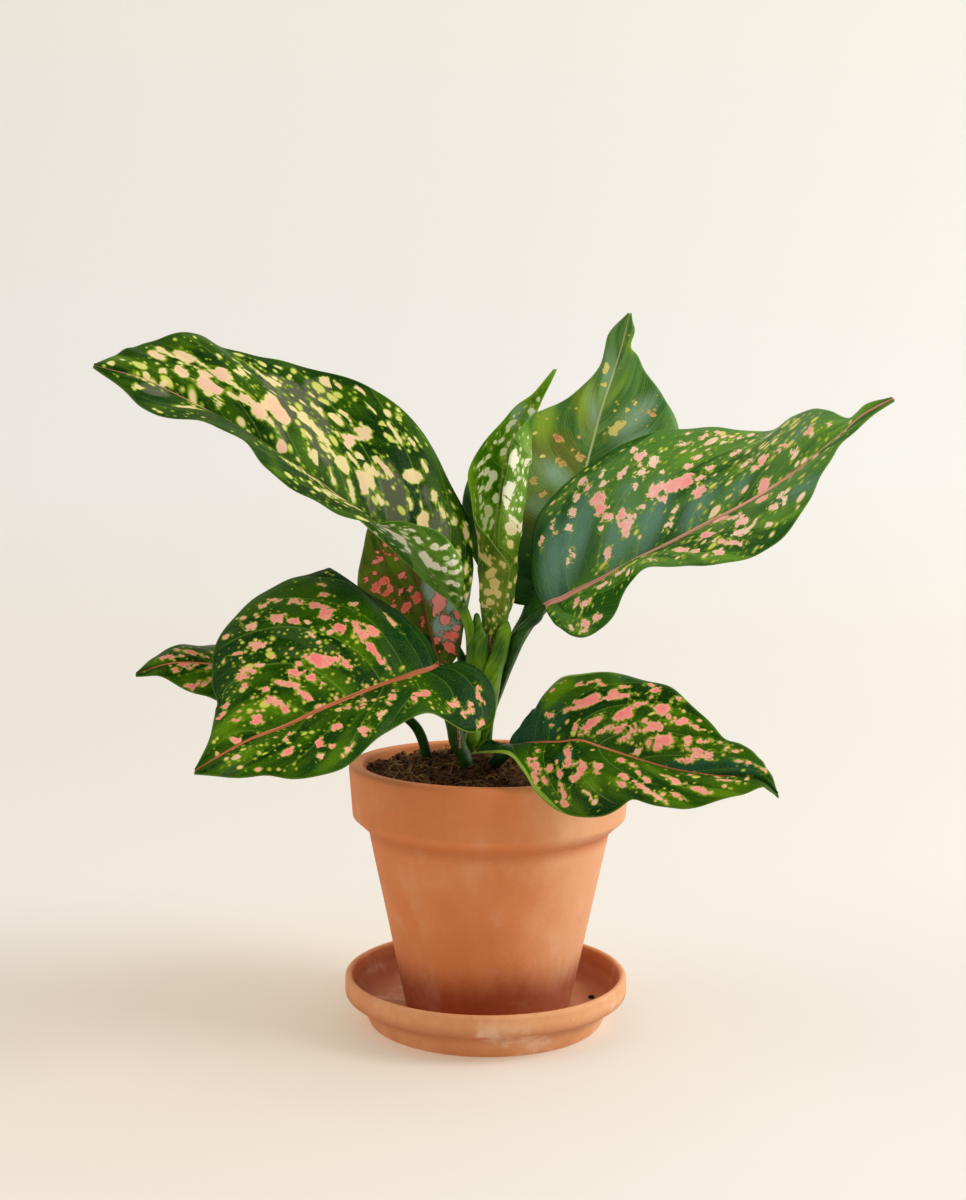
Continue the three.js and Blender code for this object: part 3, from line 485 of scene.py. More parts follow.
            (2.9, 0.38, 5.5, 6.5, 0.1), (2.7, 0.72, 3.4, 3.4, 0.3), (2.1, 0.6, 4, 9, 0.8),
            (1.6, 0.58, 4, 9, 0.9), (2.3, 0.1, 2, 5, 0.7), (3.6, 0.8, 2.4, 3, 0.2),
            (4.3, 0.75, 2.4, 3, 0.2), (5, 0.4, 4, 6, 0.2), (5.6, 0.3, 4, 5, 0.2),
            (4.9, 0.75, 4, 4, 0.2),
        ],
        "bright": [
            (4.9, -0.5, 14, 9), (5.6, -0.5, 10, 8), (4, -0.95, 3, 30),
        ],
        "grey_and_sheen": [
            (3.8, 0.5, 20, 30), (2.6, 0.4, 14, 16), (5, 0.4, 18, 20),
        ],
        "crown": (0.06, 0.06),
        "nicks": [
            (0, 4.6, -1, 0.7),
        ],
        "rows": [
            [[-24, 14, 175], [-28, 12, 174], [-20, 12, 175]],
            [[-25, 15, 178], [-42, 10, 178], [-15, 10, 182]],
            [[-27, 17, 184], [-57, 14, 189], [-12, 13, 197]],
            [[-30, 20, 195], [-65, 19, 206], [-9, 17, 213]],
            [[-33, 25, 207], [-67, 26, 222], [-8, 24, 229]],
            [[-38, 32, 221], [-64, 34, 241], [-12, 32, 245]],
            [[-43, 39, 236], [-59, 42, 257], [-21, 40, 259]],
            [[-48, 45, 250], [-60, 48, 268], [-34, 46, 269]],
            [[-54, 50, 265], [-61, 52, 274], [-47, 51, 275]],
            [[-61, 54, 278], [-62, 54, 278], [-60, 54, 278]],
        ],
    },
    "blade_lower_right": {
        "rib": 1.5,
        "veins": 10,
        "lean": (3.0, 2.2),
        "spots": [
            (7.25, -0.5, 13, 7, 0.9), (6.7, -0.78, 5.5, 3, 0.9), (7, -0.8, 5.5, 2.2, 0.8),
            (7.3, -0.75, 5, 3, 0.8), (7.75, -0.7, 4.6, 3.6, 0.85), (7.85, -0.8, 4.6, 3, 0.85),
            (7.95, -0.62, 16, 3.6, 0.85), (6.8, -0.5, 3.4, 2.4, 0.9), (6.55, -0.4, 3.4, 2.8, 0.9),
            (5.85, -0.35, 3, 3.8, 0.8), (5.9, -0.2, 2.6, 2.4, 0.7), (6.75, -0.38, 2.4, 2, 0.8),
            (7.5, -0.22, 13, 5, 1), (6.8, -0.12, 5, 1.6, 1), (8.3, -0.25, 6.5, 3, 1),
            (7.95, -0.17, 8.5, 2.2, 1), (8.35, -0.42, 10, 5.5, 0.9), (8.3, -0.55, 5.5, 2.6, 0.9),
            (8.45, -0.65, 5.5, 2.6, 0.9), (8.15, -0.95, 5, 2.4, 0.85), (8.45, -0.88, 5.5, 4.6, 0.9),
            (8.5, -0.78, 4, 2.6, 0.9), (8.85, -0.72, 9, 6.5, 0.9), (8.85, -0.93, 4.6, 2.2, 0.9),
            (9.3, -0.8, 5.5, 3, 0.9), (9.05, -0.68, 4.2, 2.4, 0.95), (8.7, -0.4, 12, 2.2, 0.9),
            (9.1, -0.5, 6.5, 3.4, 0.8), (8.8, -0.33, 9.5, 2.8, 0.95), (9.35, -0.68, 4.6, 1.6, 0.9),
            (9.6, -0.8, 4.2, 1.8, 0.8), (9.2, -0.25, 5.2, 4, 0.9), (9.45, -0.4, 9.5, 6, 0.85),
            (9.35, -0.2, 7.5, 2.6, 0.9), (9.75, -0.58, 4.6, 3.2, 0.85),
            (9.95, -0.7, 4.2, 3.2, 0.85),
            (9.9, -0.42, 9, 2.2, 0.85), (10.15, -0.5, 11, 1.6, 0.8), (10.25, -0.38, 5.6, 3.8, 0.55),
            (10.5, -0.45, 5.6, 2.4, 0.5), (10.1, -0.22, 6.6, 2.2, 0.75), (8.6, -0.15, 5.6, 2, 0.85),
            (10.2, -0.85, 4.6, 1.8, 0.7), (10.75, -0.8, 4.6, 1.6, 0.7), (11.3, -0.65, 5.6, 2, 0.6),
            (12, -0.75, 5.6, 1.6, 0.7), (6.9, 0.2, 10, 3.8, 0.9), (7.15, 0.38, 5.6, 4.2, 0.9),
            (6.75, 0.38, 2.4, 1.8, 0.8), (6.6, 0.5, 2.8, 1.8, 0.8), (6.4, 0.5, 3.6, 2, 0.9),
            (5.85, 0.6, 8.5, 3.8, 0.85), (5.3, 0.65, 3.6, 2.8, 0.7), (5.4, 0.35, 2.8, 2.4, 0.8),
            (5.95, 0.73, 5.6, 2.4, 0.8), (6.4, 0.68, 4.6, 2.8, 0.9), (7, 0.52, 5.6, 2.4, 0.85),
            (7.7, 0.45, 8, 4.4, 0.85), (7.5, 0.6, 4.6, 4.4, 0.85), (7.55, 0.35, 2.4, 1.8, 0.8),
            (8.2, 0.38, 5.6, 3.6, 0.8), (8.2, 0.49, 3.2, 2.4, 0.8), (8.75, 0.2, 4.8, 4, 0.9),
            (8.9, 0.6, 4.6, 2.8, 0.8), (8.8, 0.75, 4.6, 1.6, 0.7), (7.1, 0.7, 3.4, 2, 0.9),
            (7.2, 0.8, 5.6, 2.4, 0.9), (7.15, 0.9, 4.6, 2.8, 0.9), (9.1, 0.3, 3.6, 2, 0.8),
            (9.25, 0.48, 2.4, 1.8, 0.8), (9.4, 0.58, 5.6, 3.2, 0.85), (9.25, 0.71, 7.5, 2, 0.85),
            (9.5, 0.86, 12, 2.4, 0.4), (10, 0.45, 8, 2.8, 0.7), (9.95, 0.76, 7.5, 2, 0.85),
            (10.4, 0.68, 12.5, 3, 0.8), (11.15, 0.5, 9, 2.4, 0.65), (10.4, 0.2, 1.8, 2.6, 0.9),
            (7.9, 0.8, 5.6, 1.2, 0.1), (6, 0.86, 5.6, 1.6, 0.5), (9, -0.1, 4, 1.6, 0.3),
            (11, 0.25, 3, 1.4, 0.6),
        ],
        "bright": [
            (6, -0.75, 16, 12), (7.4, -0.95, 5, 22), (8, 0.62, 16, 11), (7.6, 0.93, 24, 7),
            (8.7, 0.68, 14, 8), (10, 0.92, 34, 5), (10.8, 0.85, 20, 6), (5.8, -0.55, 10, 8),
            (8.9, -0.95, 4, 20), (9.6, 0.3, 12, 4), (4, -0.9, 7, 12), (4.8, -0.92, 8, 14),
            (5.5, -0.92, 7, 14),
        ],
        "grey_and_sheen": [
            (10.3, -0.12, 34, 6), (5.9, -0.3, 20, 6), (6.3, -0.25, 18, 5), (4, -0.6, 16, 5),
            (7, 0.3, 10, 8), (11.5, -0.5, 18, 7), (7.6, -0.93, 10, 4), (6.5, -0.9, 3, 5),
            (2, -0.5, 26, 12), (4.6, -0.3, 24, 8),
        ],
        "crown": (0.08, 0.08),
        "calm": [(1, -0.5, 40, 34), (2.4, -0.75, 30, 26), (1.2, 0.5, 40, 34)],
        "curls": [(1, 1.4, 7.4, 5), (0, 2.4, 7.6, 1.5)],
        "nicks": [
            (0, 3.5, -1.1, 0.2), (0, 6.4, -2.3, 0.5), (0, 8.5, 2, 0.4), (0, 10, -1.3, 0.3),
            (0, 11, 0.8, 0.3), (0, 12, -1, 0.25), (1, 9, -2.4, 0.2), (1, 9.5, 0.6, 0.2),
            (1, 10.6, -2, 0.6),
        ],
        "rows": [
            [[11, -40, 143], [11, -38, 145], [8, -41, 144]],
            [[12, -41, 144], [13, -34, 149], [-1, -38, 147]],
            [[15, -42, 145], [17, -30, 153], [-7, -44, 139.5]],
            [[18, -44, 146], [21, -26, 158], [-2, -52, 141]],
            [[22, -47, 147], [26, -24, 162], [9, -61, 142]],
            [[27, -51, 148], [30, -22, 170], [15, -69, 137]],
            [[33, -56, 149], [38, -24, 176], [22, -78, 129]],
            [[42, -63, 151], [55, -34, 179], [33, -90, 123]],
            [[52, -71, 149], [73, -48, 177], [48, -102, 124]],
            [[66, -81, 146], [91, -68, 169], [62, -110, 132]],
            [[82, -91, 143], [106, -85, 157], [84, -119, 131]],
            [[99, -100, 142], [115, -97, 152], [106, -120, 137]],
            [[113, -107, 142], [121, -105, 147], [118, -116, 140]],
            [[124, -112, 136], [124, -111, 137], [124, -113, 135]],
        ],
    },
}

LEAF_DEFAULTS = {
    "keel": 1.5,
    "calm": [],
    "curls": [],
}

BLADE = {
    "thickness": 0.55,
    "edge_thinning": 0.6,
    "sweep": 0.1,
    "spans": 12,
    "columns": 22,
    "column_spread": 1.2,
    "quilt": 0.55,
    "ripple": 0.5,
    "ripple_lengths": ((6.1, 3.3), (6.7, 3.1)),
    "lump": 0.35,
    "lump_waves": 0.06,
    "roll": 0.5,
    "rib_sink": 0.3,
    "rib_narrowing": 0.68,
    "rib_flattening": 0.85,
}

# How far off the blade's surface, in millimetres, an area of each kind still paints it.
PAINT_REACH = {"spots": 7, "bright": 7, "grey_and_sheen": 15, "calm": 60}
# The depth given to points that lie in no area.
OUTSIDE = -9.0

# ---- Stems -------------------------------------------------------------------------------
# Round stems: a line of points from the root end up, each [x, y, z, radius].

CLUMP_RODS = [
    [
        [-5, 4, 120, 3.6], [-3, 4, 140, 4], [0, 6, 155, 4.2], [8, 10, 176, 4], [19, 14, 195, 3],
        [28, 15.6, 205, 2.3],
    ],
    [[-9, 5, 140, 6], [-17, 11, 158, 4], [-23.4, 14, 173.4, 2.6]],
    [[-4, -6, 122, 6], [0, -18, 128, 4], [6, -31, 137, 3], [10, -38.4, 141.4, 2.4]],
]
SIDE_PETIOLE = [
    [-29.5, 4, 92, 2.8], [-29.5, 4, 120, 2.8], [-31, 4, 134, 2.6], [-35, 3, 145, 2.5],
    [-41.5, -2, 152.5, 2.4], [-49, -8, 157.5, 2.4], [-63, -14, 160.4, 2.3],
    [-75.4, -19.4, 162.4, 2.1],
]
# The old leaf scar on the front cane, and the dry gap between the sheaths.
SCARS = [
    [[-13.4, -28.2, 141, 0.5], [-13.8, -28.6, 146, 0.8], [-14.6, -29, 152, 0.5]],
    [[0.5, -6, 178, 2.5], [0.6, -8, 186, 1.6], [0.8, -8.4, 192.5, 0.8]],
]
# Sheaths and flat petioles: from the foot up, each with the x and z of its left edge, the x and
# z of its right edge, the y of both, and half its depth.
CANE = [
    (-12, 92, 2, 92, 0, 7), (-11.5, 115, 3, 115, 0, 8), (-12, 140.5, 2, 141.5, 0, 8),
    (-13.5, 153, 3.5, 153, 0, 8.5), (-14.5, 165.5, 6, 163.5, 0, 9), (-13, 175.5, 9, 170.5, 0, 8),
    (-11, 183, 7.5, 178, 0, 6),
]
RIGHT_PETIOLE = [
    (-7, 112, 0, 112, -3, 4), (-5, 125, 1, 125, -3, 4), (-3, 138.5, 2, 138.5, -4, 4),
    (-1, 153.5, 3.5, 153.5, -4, 4), (3, 166, 7.5, 165, -5, 4), (6, 175.5, 11, 174.5, -6, 4),
    (8, 184, 14.5, 183, -7, 4), (10.5, 192.5, 18, 191.5, -8, 3.6), (15, 198.5, 20, 196, -9, 3),
    (20.5, 203.5, 25.5, 201, -9, 2.6), (25.5, 209, 28, 206.5, -8.4, 2.2),
]
BACK_PETIOLE = [
    (5, 170, 9, 169, 4, 4), (8, 184, 14, 184, 6, 4), (11.5, 193.5, 20, 192.5, 9, 3.6),
    (16, 201.5, 25, 201, 12, 3), (18.5, 207.5, 28.5, 206.5, 15, 2.4), (22, 213.5, 27, 213, 15, 1.6),
    (25, 217.5, 25.5, 217, 15, 0.5),
]
UPPER_LEFT_PETIOLE = [
    (-11, 160, -3, 160, -4, 4), (-11, 172, -3, 172, -6, 4), (-11, 185.5, -4, 185, -7, 4),
    (-12, 197, -6.5, 197, -10, 3.2), (-16, 208.5, -11, 210, -14, 2.4),
]
LEFT_SHEATH = [
    (-11, 154, -2, 154, -6, 5), (-11, 168, -1.5, 168, -9, 5), (-11, 179, -0.5, 178, -9, 5.5),
    (-10.5, 185.5, 0.5, 186.5, -9, 5), (-10, 191.5, -0.5, 193, -9, 4.2),
    (-8, 197.5, -3, 198.5, -9, 3),
    (-7.5, 201.5, -4, 202.5, -9, 2.2), (-7, 204, -4.5, 204, -9, 1.4),
]
RIGHT_SHEATH = [
    (-10, 112, -2, 112, -2, 3), (-10, 130, 0, 130, -3, 4), (-9, 146, 2, 146, -5, 5),
    (-7, 156, 4, 156, -9, 6), (-5, 167, 5.5, 166, -11, 6), (-2, 178.5, 7, 176, -11, 6),
    (0.5, 184, 9, 183, -11, 5.5), (2.5, 191.5, 10.5, 191, -11, 4.5),
    (5, 197.5, 11, 196.5, -11, 3), (8, 201, 10, 200.5, -11, 1),
]
SIDE_SHEATH = [
    (-14.5, 174, -9, 173, 3, 3), (-15.5, 182.5, -11, 181.5, 3, 2.4), (-15, 187, -14, 187, 3, 0.6),
]
YOUNG_SHEATH = [
    (-3, 184, 3, 184, -3, 3), (-3, 189.5, 4.5, 189.5, -3, 4), (-3.5, 194.5, 7, 195, -3, 5),
    (-3.5, 200.5, 9.5, 200, -2, 6.5), (-4, 208.5, 10.5, 207.5, -1, 7),
    (-3, 215.5, 11, 213.5, 0, 5.5),
]
BUD = [
    (-9.5, 137, -6.5, 138.5, -17, 1.5), (-11, 142.5, -4, 143.5, -17, 3.6),
    (-10.5, 147.5, -3.5, 148, -16, 4), (-8.5, 152.5, -4, 152.5, -15, 3),
]
FRONT_CANE = [
    (-11, 112, -7, 112, -24, 2), (-12, 128, -6, 128, -24, 3), (-14, 133, -7, 133, -24, 4),
    (-16.5, 138, -8.5, 138, -23, 5), (-19, 143.5, -10.5, 142.5, -23, 5),
    (-20, 149.5, -12, 148.5, -24, 5), (-21.5, 157, -14.5, 156.5, -26, 4.4),
    (-22.5, 167.5, -17, 166.5, -33, 3.2), (-23.5, 179.5, -21.5, 179.5, -41, 2.3),
]
# How light each is, from 0 to 1: partly its own green, partly painted light on parts in shade.
CLUMP_SHEATHS = [
    (CANE, 0.0), (RIGHT_PETIOLE, 0.35), (BACK_PETIOLE, 0.45), (UPPER_LEFT_PETIOLE, 0.9),
    (LEFT_SHEATH, 0.65), (RIGHT_SHEATH, 0.75), (SIDE_SHEATH, 0.2), (BUD, 0.7),
]
CLUMP_ROD_LIGHT = 0.25
SINGLE_STEM_LIGHT = 0.3

STEM = {
    "sides": 28,
    "spans": 10,
    "lump": 0.06,
    "ribs": 5,
    "rib_height": 0.02,
    "cap": 0.6,
}


# ---- Small helpers -----------------------------------------------------------------------

def linear(red, green, blue):
    """An sRGB colour, 0 to 255, as a linear RGBA."""
    def channel(value):
        value /= 255
        return value / 12.92 if value <= 0.04045 else ((value + 0.055) / 1.055) ** 2.4

    return (channel(red), channel(green), channel(blue), 1.0)


def smoothstep(low, high, value):
    """0 below low and 1 above high, with a smooth rise between them."""
    share = np.clip((value - low) / (high - low), 0, 1)
    return share * share * (3 - 2 * share)


def unit(vectors):
    """The vectors, each made one long."""
    return vectors / np.maximum(np.linalg.norm(vectors, axis=-1, keepdims=True), 1e-12)


def spline(points, count):
    """count + 1 points on the centripetal Catmull-Rom curve through the given points."""
    closest = 1e-4
    points = np.asarray(points, float)
    ends = [2 * points[0] - points[1]], points, [2 * points[-1] - points[-2]]
    padded = np.concatenate(ends)
    line = []
    for i in range(count + 1):
        place = (len(points) - 1) * i / count
        start = min(int(place), len(points) - 2)
        t = place - start
        p0, p1, p2, p3 = padded[start:start + 4]
        d0, d1, d2 = (math.sqrt(np.linalg.norm(b - a)) for a, b in ((p0, p1), (p1, p2), (p2, p3)))
        d1 = d1 if d1 >= closest else 1.0
        d0 = d0 if d0 >= closest else d1
        d2 = d2 if d2 >= closest else d1
        into = ((p1 - p0) / d0 - (p2 - p0) / (d0 + d1) + (p2 - p1) / d1) * d1
        away = ((p2 - p1) / d1 - (p3 - p1) / (d1 + d2) + (p3 - p2) / d2) * d1
        cubic = -3 * p1 + 3 * p2 - 2 * into - away, 2 * p1 - 2 * p2 + into + away
        line.append(p1 + into * t + cubic[0] * t * t + cubic[1] * t ** 3)
    return np.array(line)


def make_mesh(name, points, faces, materials, material_of=None):
    """A smooth-shaded mesh object from points in millimetres."""
    mesh = bpy.data.meshes.new(name)
    mesh.from_pydata((np.asarray(points) * MM).tolist(), [], faces)
    mesh.polygons.foreach_set("use_smooth", [True] * len(mesh.polygons))
    for material in materials:
        mesh.materials.append(material)
    if material_of is not None:
        mesh.polygons.foreach_set("material_index", material_of)
    mesh.update()
    piece = bpy.data.objects.new(name, mesh)
    bpy.context.scene.collection.objects.link(piece)
    return piece


def add_attribute(piece, name, values):
    """A number or a vector for each vertex of a piece."""
    values = np.asarray(values, float)
    kind = ("FLOAT", "value") if values.ndim == 1 else ("FLOAT_VECTOR", "vector")
    made = piece.data.attributes.new(name, kind[0], "POINT")
    made.data.foreach_set(kind[1], values.ravel())


def settle(piece, slot, *nodes):
    """The piece rides on the object and hides the CAD nodes it stands for. The slot is not used."""
    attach(piece, "root")
    if nodes:
        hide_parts(*nodes)
    return piece


# ---- Shader building ---------------------------------------------------------------------

# Where a Mix node that mixes colours has its share and two colours, and its result.
MIX_COLOUR_SOCKETS = (0, 6, 7)
MIX_COLOUR_OUTPUT = 2


class Shader:
    """A material with a Principled surface, and short ways to add nodes to it."""

    def __init__(self, name, roughness, specular):
        self.material = bpy.data.materials.new(name)
        self.material.use_nodes = True
        self.tree = self.material.node_tree
        self.surface = self.tree.nodes["Principled BSDF"]
        self.surface.inputs["Roughness"].default_value = roughness
        self.surface.inputs["Specular IOR Level"].default_value = specular

    def feed(self, socket, value):
        """Links another node's output to a socket, or sets the socket to a constant."""
        if isinstance(value, bpy.types.NodeSocket):
            self.tree.links.new(value, socket)
        else:
            socket.default_value = value

    def add(self, kind, **inputs):
        node = self.tree.nodes.new("ShaderNode" + kind)
        for name, value in inputs.items():
            self.feed(node.inputs[name.replace("_", " ")], value)
        return node

    def attribute(self, name, output="Fac"):
        node = self.add("Attribute")
        node.attribute_name = name
        return node.outputs[output]

    def place(self):
        return self.add("TexCoord").outputs["Object"]

    def math(self, operation, *values, clamp=False):
        node = self.add("Math")
        node.operation = operation
        node.use_clamp = clamp
        for socket, value in zip(node.inputs, values):
            self.feed(socket, value)
        return node.outputs[0]

    def jitter(self, value, chance, amount, middle=0.5):
        """The value moved up and down by a noise whose middle is given."""
        return self.math("MULTIPLY_ADD", self.math("SUBTRACT", chance, middle), amount, value)

    def vector_math(self, operation, *values, output="Vector"):
        node = self.add("VectorMath")
        node.operation = operation
        for socket, value in zip(node.inputs, values):
            self.feed(socket, value)
        return node.outputs[output]

    def scaled(self, vector, scale):
        return self.vector_math("MULTIPLY", vector, scale)

    def shifted(self, vector, by):
        return self.vector_math("ADD", vector, by)

    def length(self, vector):
        return self.vector_math("LENGTH", vector, output="Value")

    def noise(self, vector, scale, detail, roughness, output="Fac"):
        node = self.add("TexNoise", Vector=vector, Scale=scale, Detail=detail, Roughness=roughness)
        return node.outputs[output]

    def ramp(self, value, low, high, to_low=0.0, to_high=1.0):
        """A smooth step from to_low to to_high as the value goes from low to high."""
        node = self.add("MapRange")
        node.interpolation_type = "SMOOTHSTEP"
        given = {
            "Value": value, "From Min": low, "From Max": high, "To Min": to_low, "To Max": to_high,
        }
        for name, number in given.items():
            self.feed(node.inputs[name], number)
        return node.outputs[0]

    def mix(self, share, first, second, blend="MIX"):
        node = self.add("Mix")
        node.data_type = "RGBA"
        node.blend_type = blend
        for socket, value in zip(MIX_COLOUR_SOCKETS, (share, first, second)):
            self.feed(node.inputs[socket], value)
        return node.outputs[MIX_COLOUR_OUTPUT]

    def bump(self, height, distance, strength, below=None):
        node = self.add("Bump", Height=height, Distance=distance, Strength=strength)
        if below is not None:
            self.feed(node.inputs["Normal"], below)
        return node.outputs[0]

    # The glow strength is painted light: the surface gives out its own colour, as if lit through.
    def finish(self, colour, normal=None, painted_glow=0.0):
        self.feed(self.surface.inputs["Base Color"], colour)
        if painted_glow:
            self.feed(self.surface.inputs["Emission Color"], colour)
            self.surface.inputs["Emission Strength"].default_value = painted_glow
        if normal is not None:
            self.feed(self.surface.inputs["Normal"], normal)
        return self.material


# ---- Blades ------------------------------------------------------------------------------

def blade_grid(leaf):
    """The blade's middle surface as rows of points from edge to edge, and each column's share."""
    rows = leaf["rows"]
    count = BLADE["spans"] * (len(rows) - 1)
    rib, left, right = (spline([row[k] for row in rows], count) for k in range(3))
    crowns = spline([[*(row[3] if len(row) > 3 else leaf["crown"]), 0] for row in rows], count)
    ahead = unit(np.concatenate([rib[1:], rib[-1:]]) - np.concatenate([rib[:1], rib[:-1]]))
    half = (np.arange(1, BLADE["columns"] + 1) / BLADE["columns"]) ** BLADE["column_spread"]
    places = np.arange(count + 1) / BLADE["spans"]
    sides = []
    for side, edge in enumerate((left, right)):
        out = edge - rib
        width = np.linalg.norm(out, axis=1)
        nicks = sum(
            nick * np.exp(-(((places - row) / spread) ** 2))
            for nick_side, row, nick, spread in leaf["nicks"] if nick_side == side
        )
        up = unit(np.cross(ahead, out) if side == 0 else np.cross(out, ahead))
        bow = 4 * half * (1 - half) * width[:, None]
        line = rib[:, None] + out[:, None] * half[None, :, None]
        line += up[:, None] * (crowns[:, side, None] * bow)[..., None]
        line -= ahead[:, None] * (BLADE["sweep"] * bow)[..., None]
        line += (unit(out) * np.reshape(nicks, (-1, 1)))[:, None] * (half ** 4)[None, :, None]
        sides.append(line)
    grid = np.concatenate([sides[0][:, ::-1], rib[:, None], sides[1]], axis=1)
    shares = np.concatenate([-half[::-1], [0], half])
    return grid, shares


def grid_normals(grid):
    """The direction out of the blade's upper face at each point."""
    return unit(np.cross(np.gradient(grid, axis=1), np.gradient(grid, axis=0)))


def vein_lengths(grid):
    """Signed distance of each point from the midrib, along its vein."""
    steps = np.linalg.norm(np.diff(grid, axis=1), axis=2)
    middle = grid.shape[1] // 2
    right = np.cumsum(steps[:, middle:], axis=1)
    left = -np.cumsum(steps[:, :middle][:, ::-1], axis=1)[:, ::-1]
    return np.concatenate([left, np.zeros((len(grid), 1)), right], axis=1)


def mean_travel(grid):
    """How far each row lies from the base of the blade, taken over its whole width."""
    steps = np.linalg.norm(np.diff(grid, axis=0), axis=2).mean(axis=1)
    return np.concatenate([[0], np.cumsum(steps)])


def painted(grid, normals, shares, leaf, kind):
    """Signed depth, in millimetres, inside the nearest area of one kind, and that area's tone."""
    depth = np.full(grid.shape[:2], OUTSIDE)
    tone = np.zeros(grid.shape[:2])
    span = BLADE["spans"]
    for row, share, length, width, *area_tone in leaf[kind]:
        i = min(round(row * span), len(grid) - 1)
        j = int(np.argmin(np.abs(shares - share)))
        outer, inner = min(j + 1, len(shares) - 1), max(j - 1, 0)
        before, after = max(i - span, 0), min(i + span, len(grid) - 1)
        outward = (grid[i, outer] - grid[i, inner]) / (shares[outer] - shares[inner])
        forward = (grid[after, j] - grid[before, j]) / 2
        along = unit(outward * np.sign(share) + forward * leaf["lean"][int(share > 0)])
        across = np.cross(normals[i, j], along)
        away = grid - grid[i, j]
        reach = np.sqrt(
            (2 * (away @ along) / length) ** 2
            + (2 * (away @ across) / width) ** 2
            + (away @ normals[i, j] / PAINT_REACH[kind]) ** 2
        )
        inside = (1 - reach) * min(width, length) / 2
        inside[:, shares * share < 0] = OUTSIDE
        nearer = inside > depth
        depth = np.where(nearer, inside, depth)
        tone = np.where(nearer, area_tone[0] if area_tone else 0, tone)
    return depth, tone


def curl_widths(leaf, rows, shares):
    """How wide the rolled strip along the edge is, for each point of the blade."""
    curl = np.zeros((len(rows), len(shares)))
    for side, first, final, width in leaf["curls"]:
        window = smoothstep(first, first + 1, rows) * (1 - smoothstep(final - 1, final, rows))
        curl = np.maximum(curl, width * window[:, None] * ((shares > 0) == bool(side))[None, :])
    return curl


def edge_waves(node, travel):
    """The waves along the left and the right edge: two sines each, with random starts."""
    rng = random.Random(node)
    starts = [rng.uniform(0, 6.3) for _ in range(4)]
    waves = []
    for side, (long, short) in enumerate(BLADE["ripple_lengths"]):
        first, second = starts[2 * side:2 * side + 2]
        waves.append(np.sin(travel / long + first) + 0.6 * np.sin(travel / short + second))
    return waves


def blade_lift(node, grid, shares, rows, travel, veins, curl):
    """How far each point rises: quilting between the veins, rippled edges, lumps, rolled edges."""
    share = np.abs(shares)[None, :]
    between = np.abs(np.sin(np.pi * veins)) ** 0.7
    quilt = (BLADE["quilt"] * between
             * smoothstep(0.02, 0.25, share) * (1 - smoothstep(0.7, 1, share)))
    left, right = edge_waves(node, travel)
    waves = np.where(shares[None, :] < 0, left[:, None], right[:, None])
    along = rows / rows[-1]
    ends = smoothstep(0, 0.15, along) * (1 - smoothstep(0.85, 1, along))
    ripple = BLADE["ripple"] * share ** 5 * waves * ends[:, None]
    lumps = np.array([
        [noise.noise(Vector(p * BLADE["lump_waves"])) for p in line] for line in grid])
    return quilt + ripple + BLADE["lump"] * lumps * share + BLADE["roll"] * curl * share ** 12


def sheet_faces(rows, columns):
    """Faces of a closed sheet whose upper points come first, and 1 for each that looks down."""
    below = rows * columns
    faces, kinds = [], []
    for i in range(rows - 1):
        for j in range(columns - 1):
            a = i * columns + j
            faces += [(a, a + 1, a + columns + 1, a + columns)]
            faces += [(below + a, below + a + columns, below + a + columns + 1, below + a + 1)]
            kinds += [0, 1]
        left, right = i * columns, i * columns + columns - 1
        faces += [(left, left + columns, below + left + columns, below + left)]
        faces += [(right, below + right, below + right + columns, right + columns)]
        kinds += [0, 0]
    for j in range(columns - 1):
        end = (rows - 1) * columns + j
        faces += [
            (j, below + j, below + j + 1, j + 1),
            (end, end + 1, below + end + 1, below + end),
        ]
        kinds += [0, 0]
    return faces, kinds


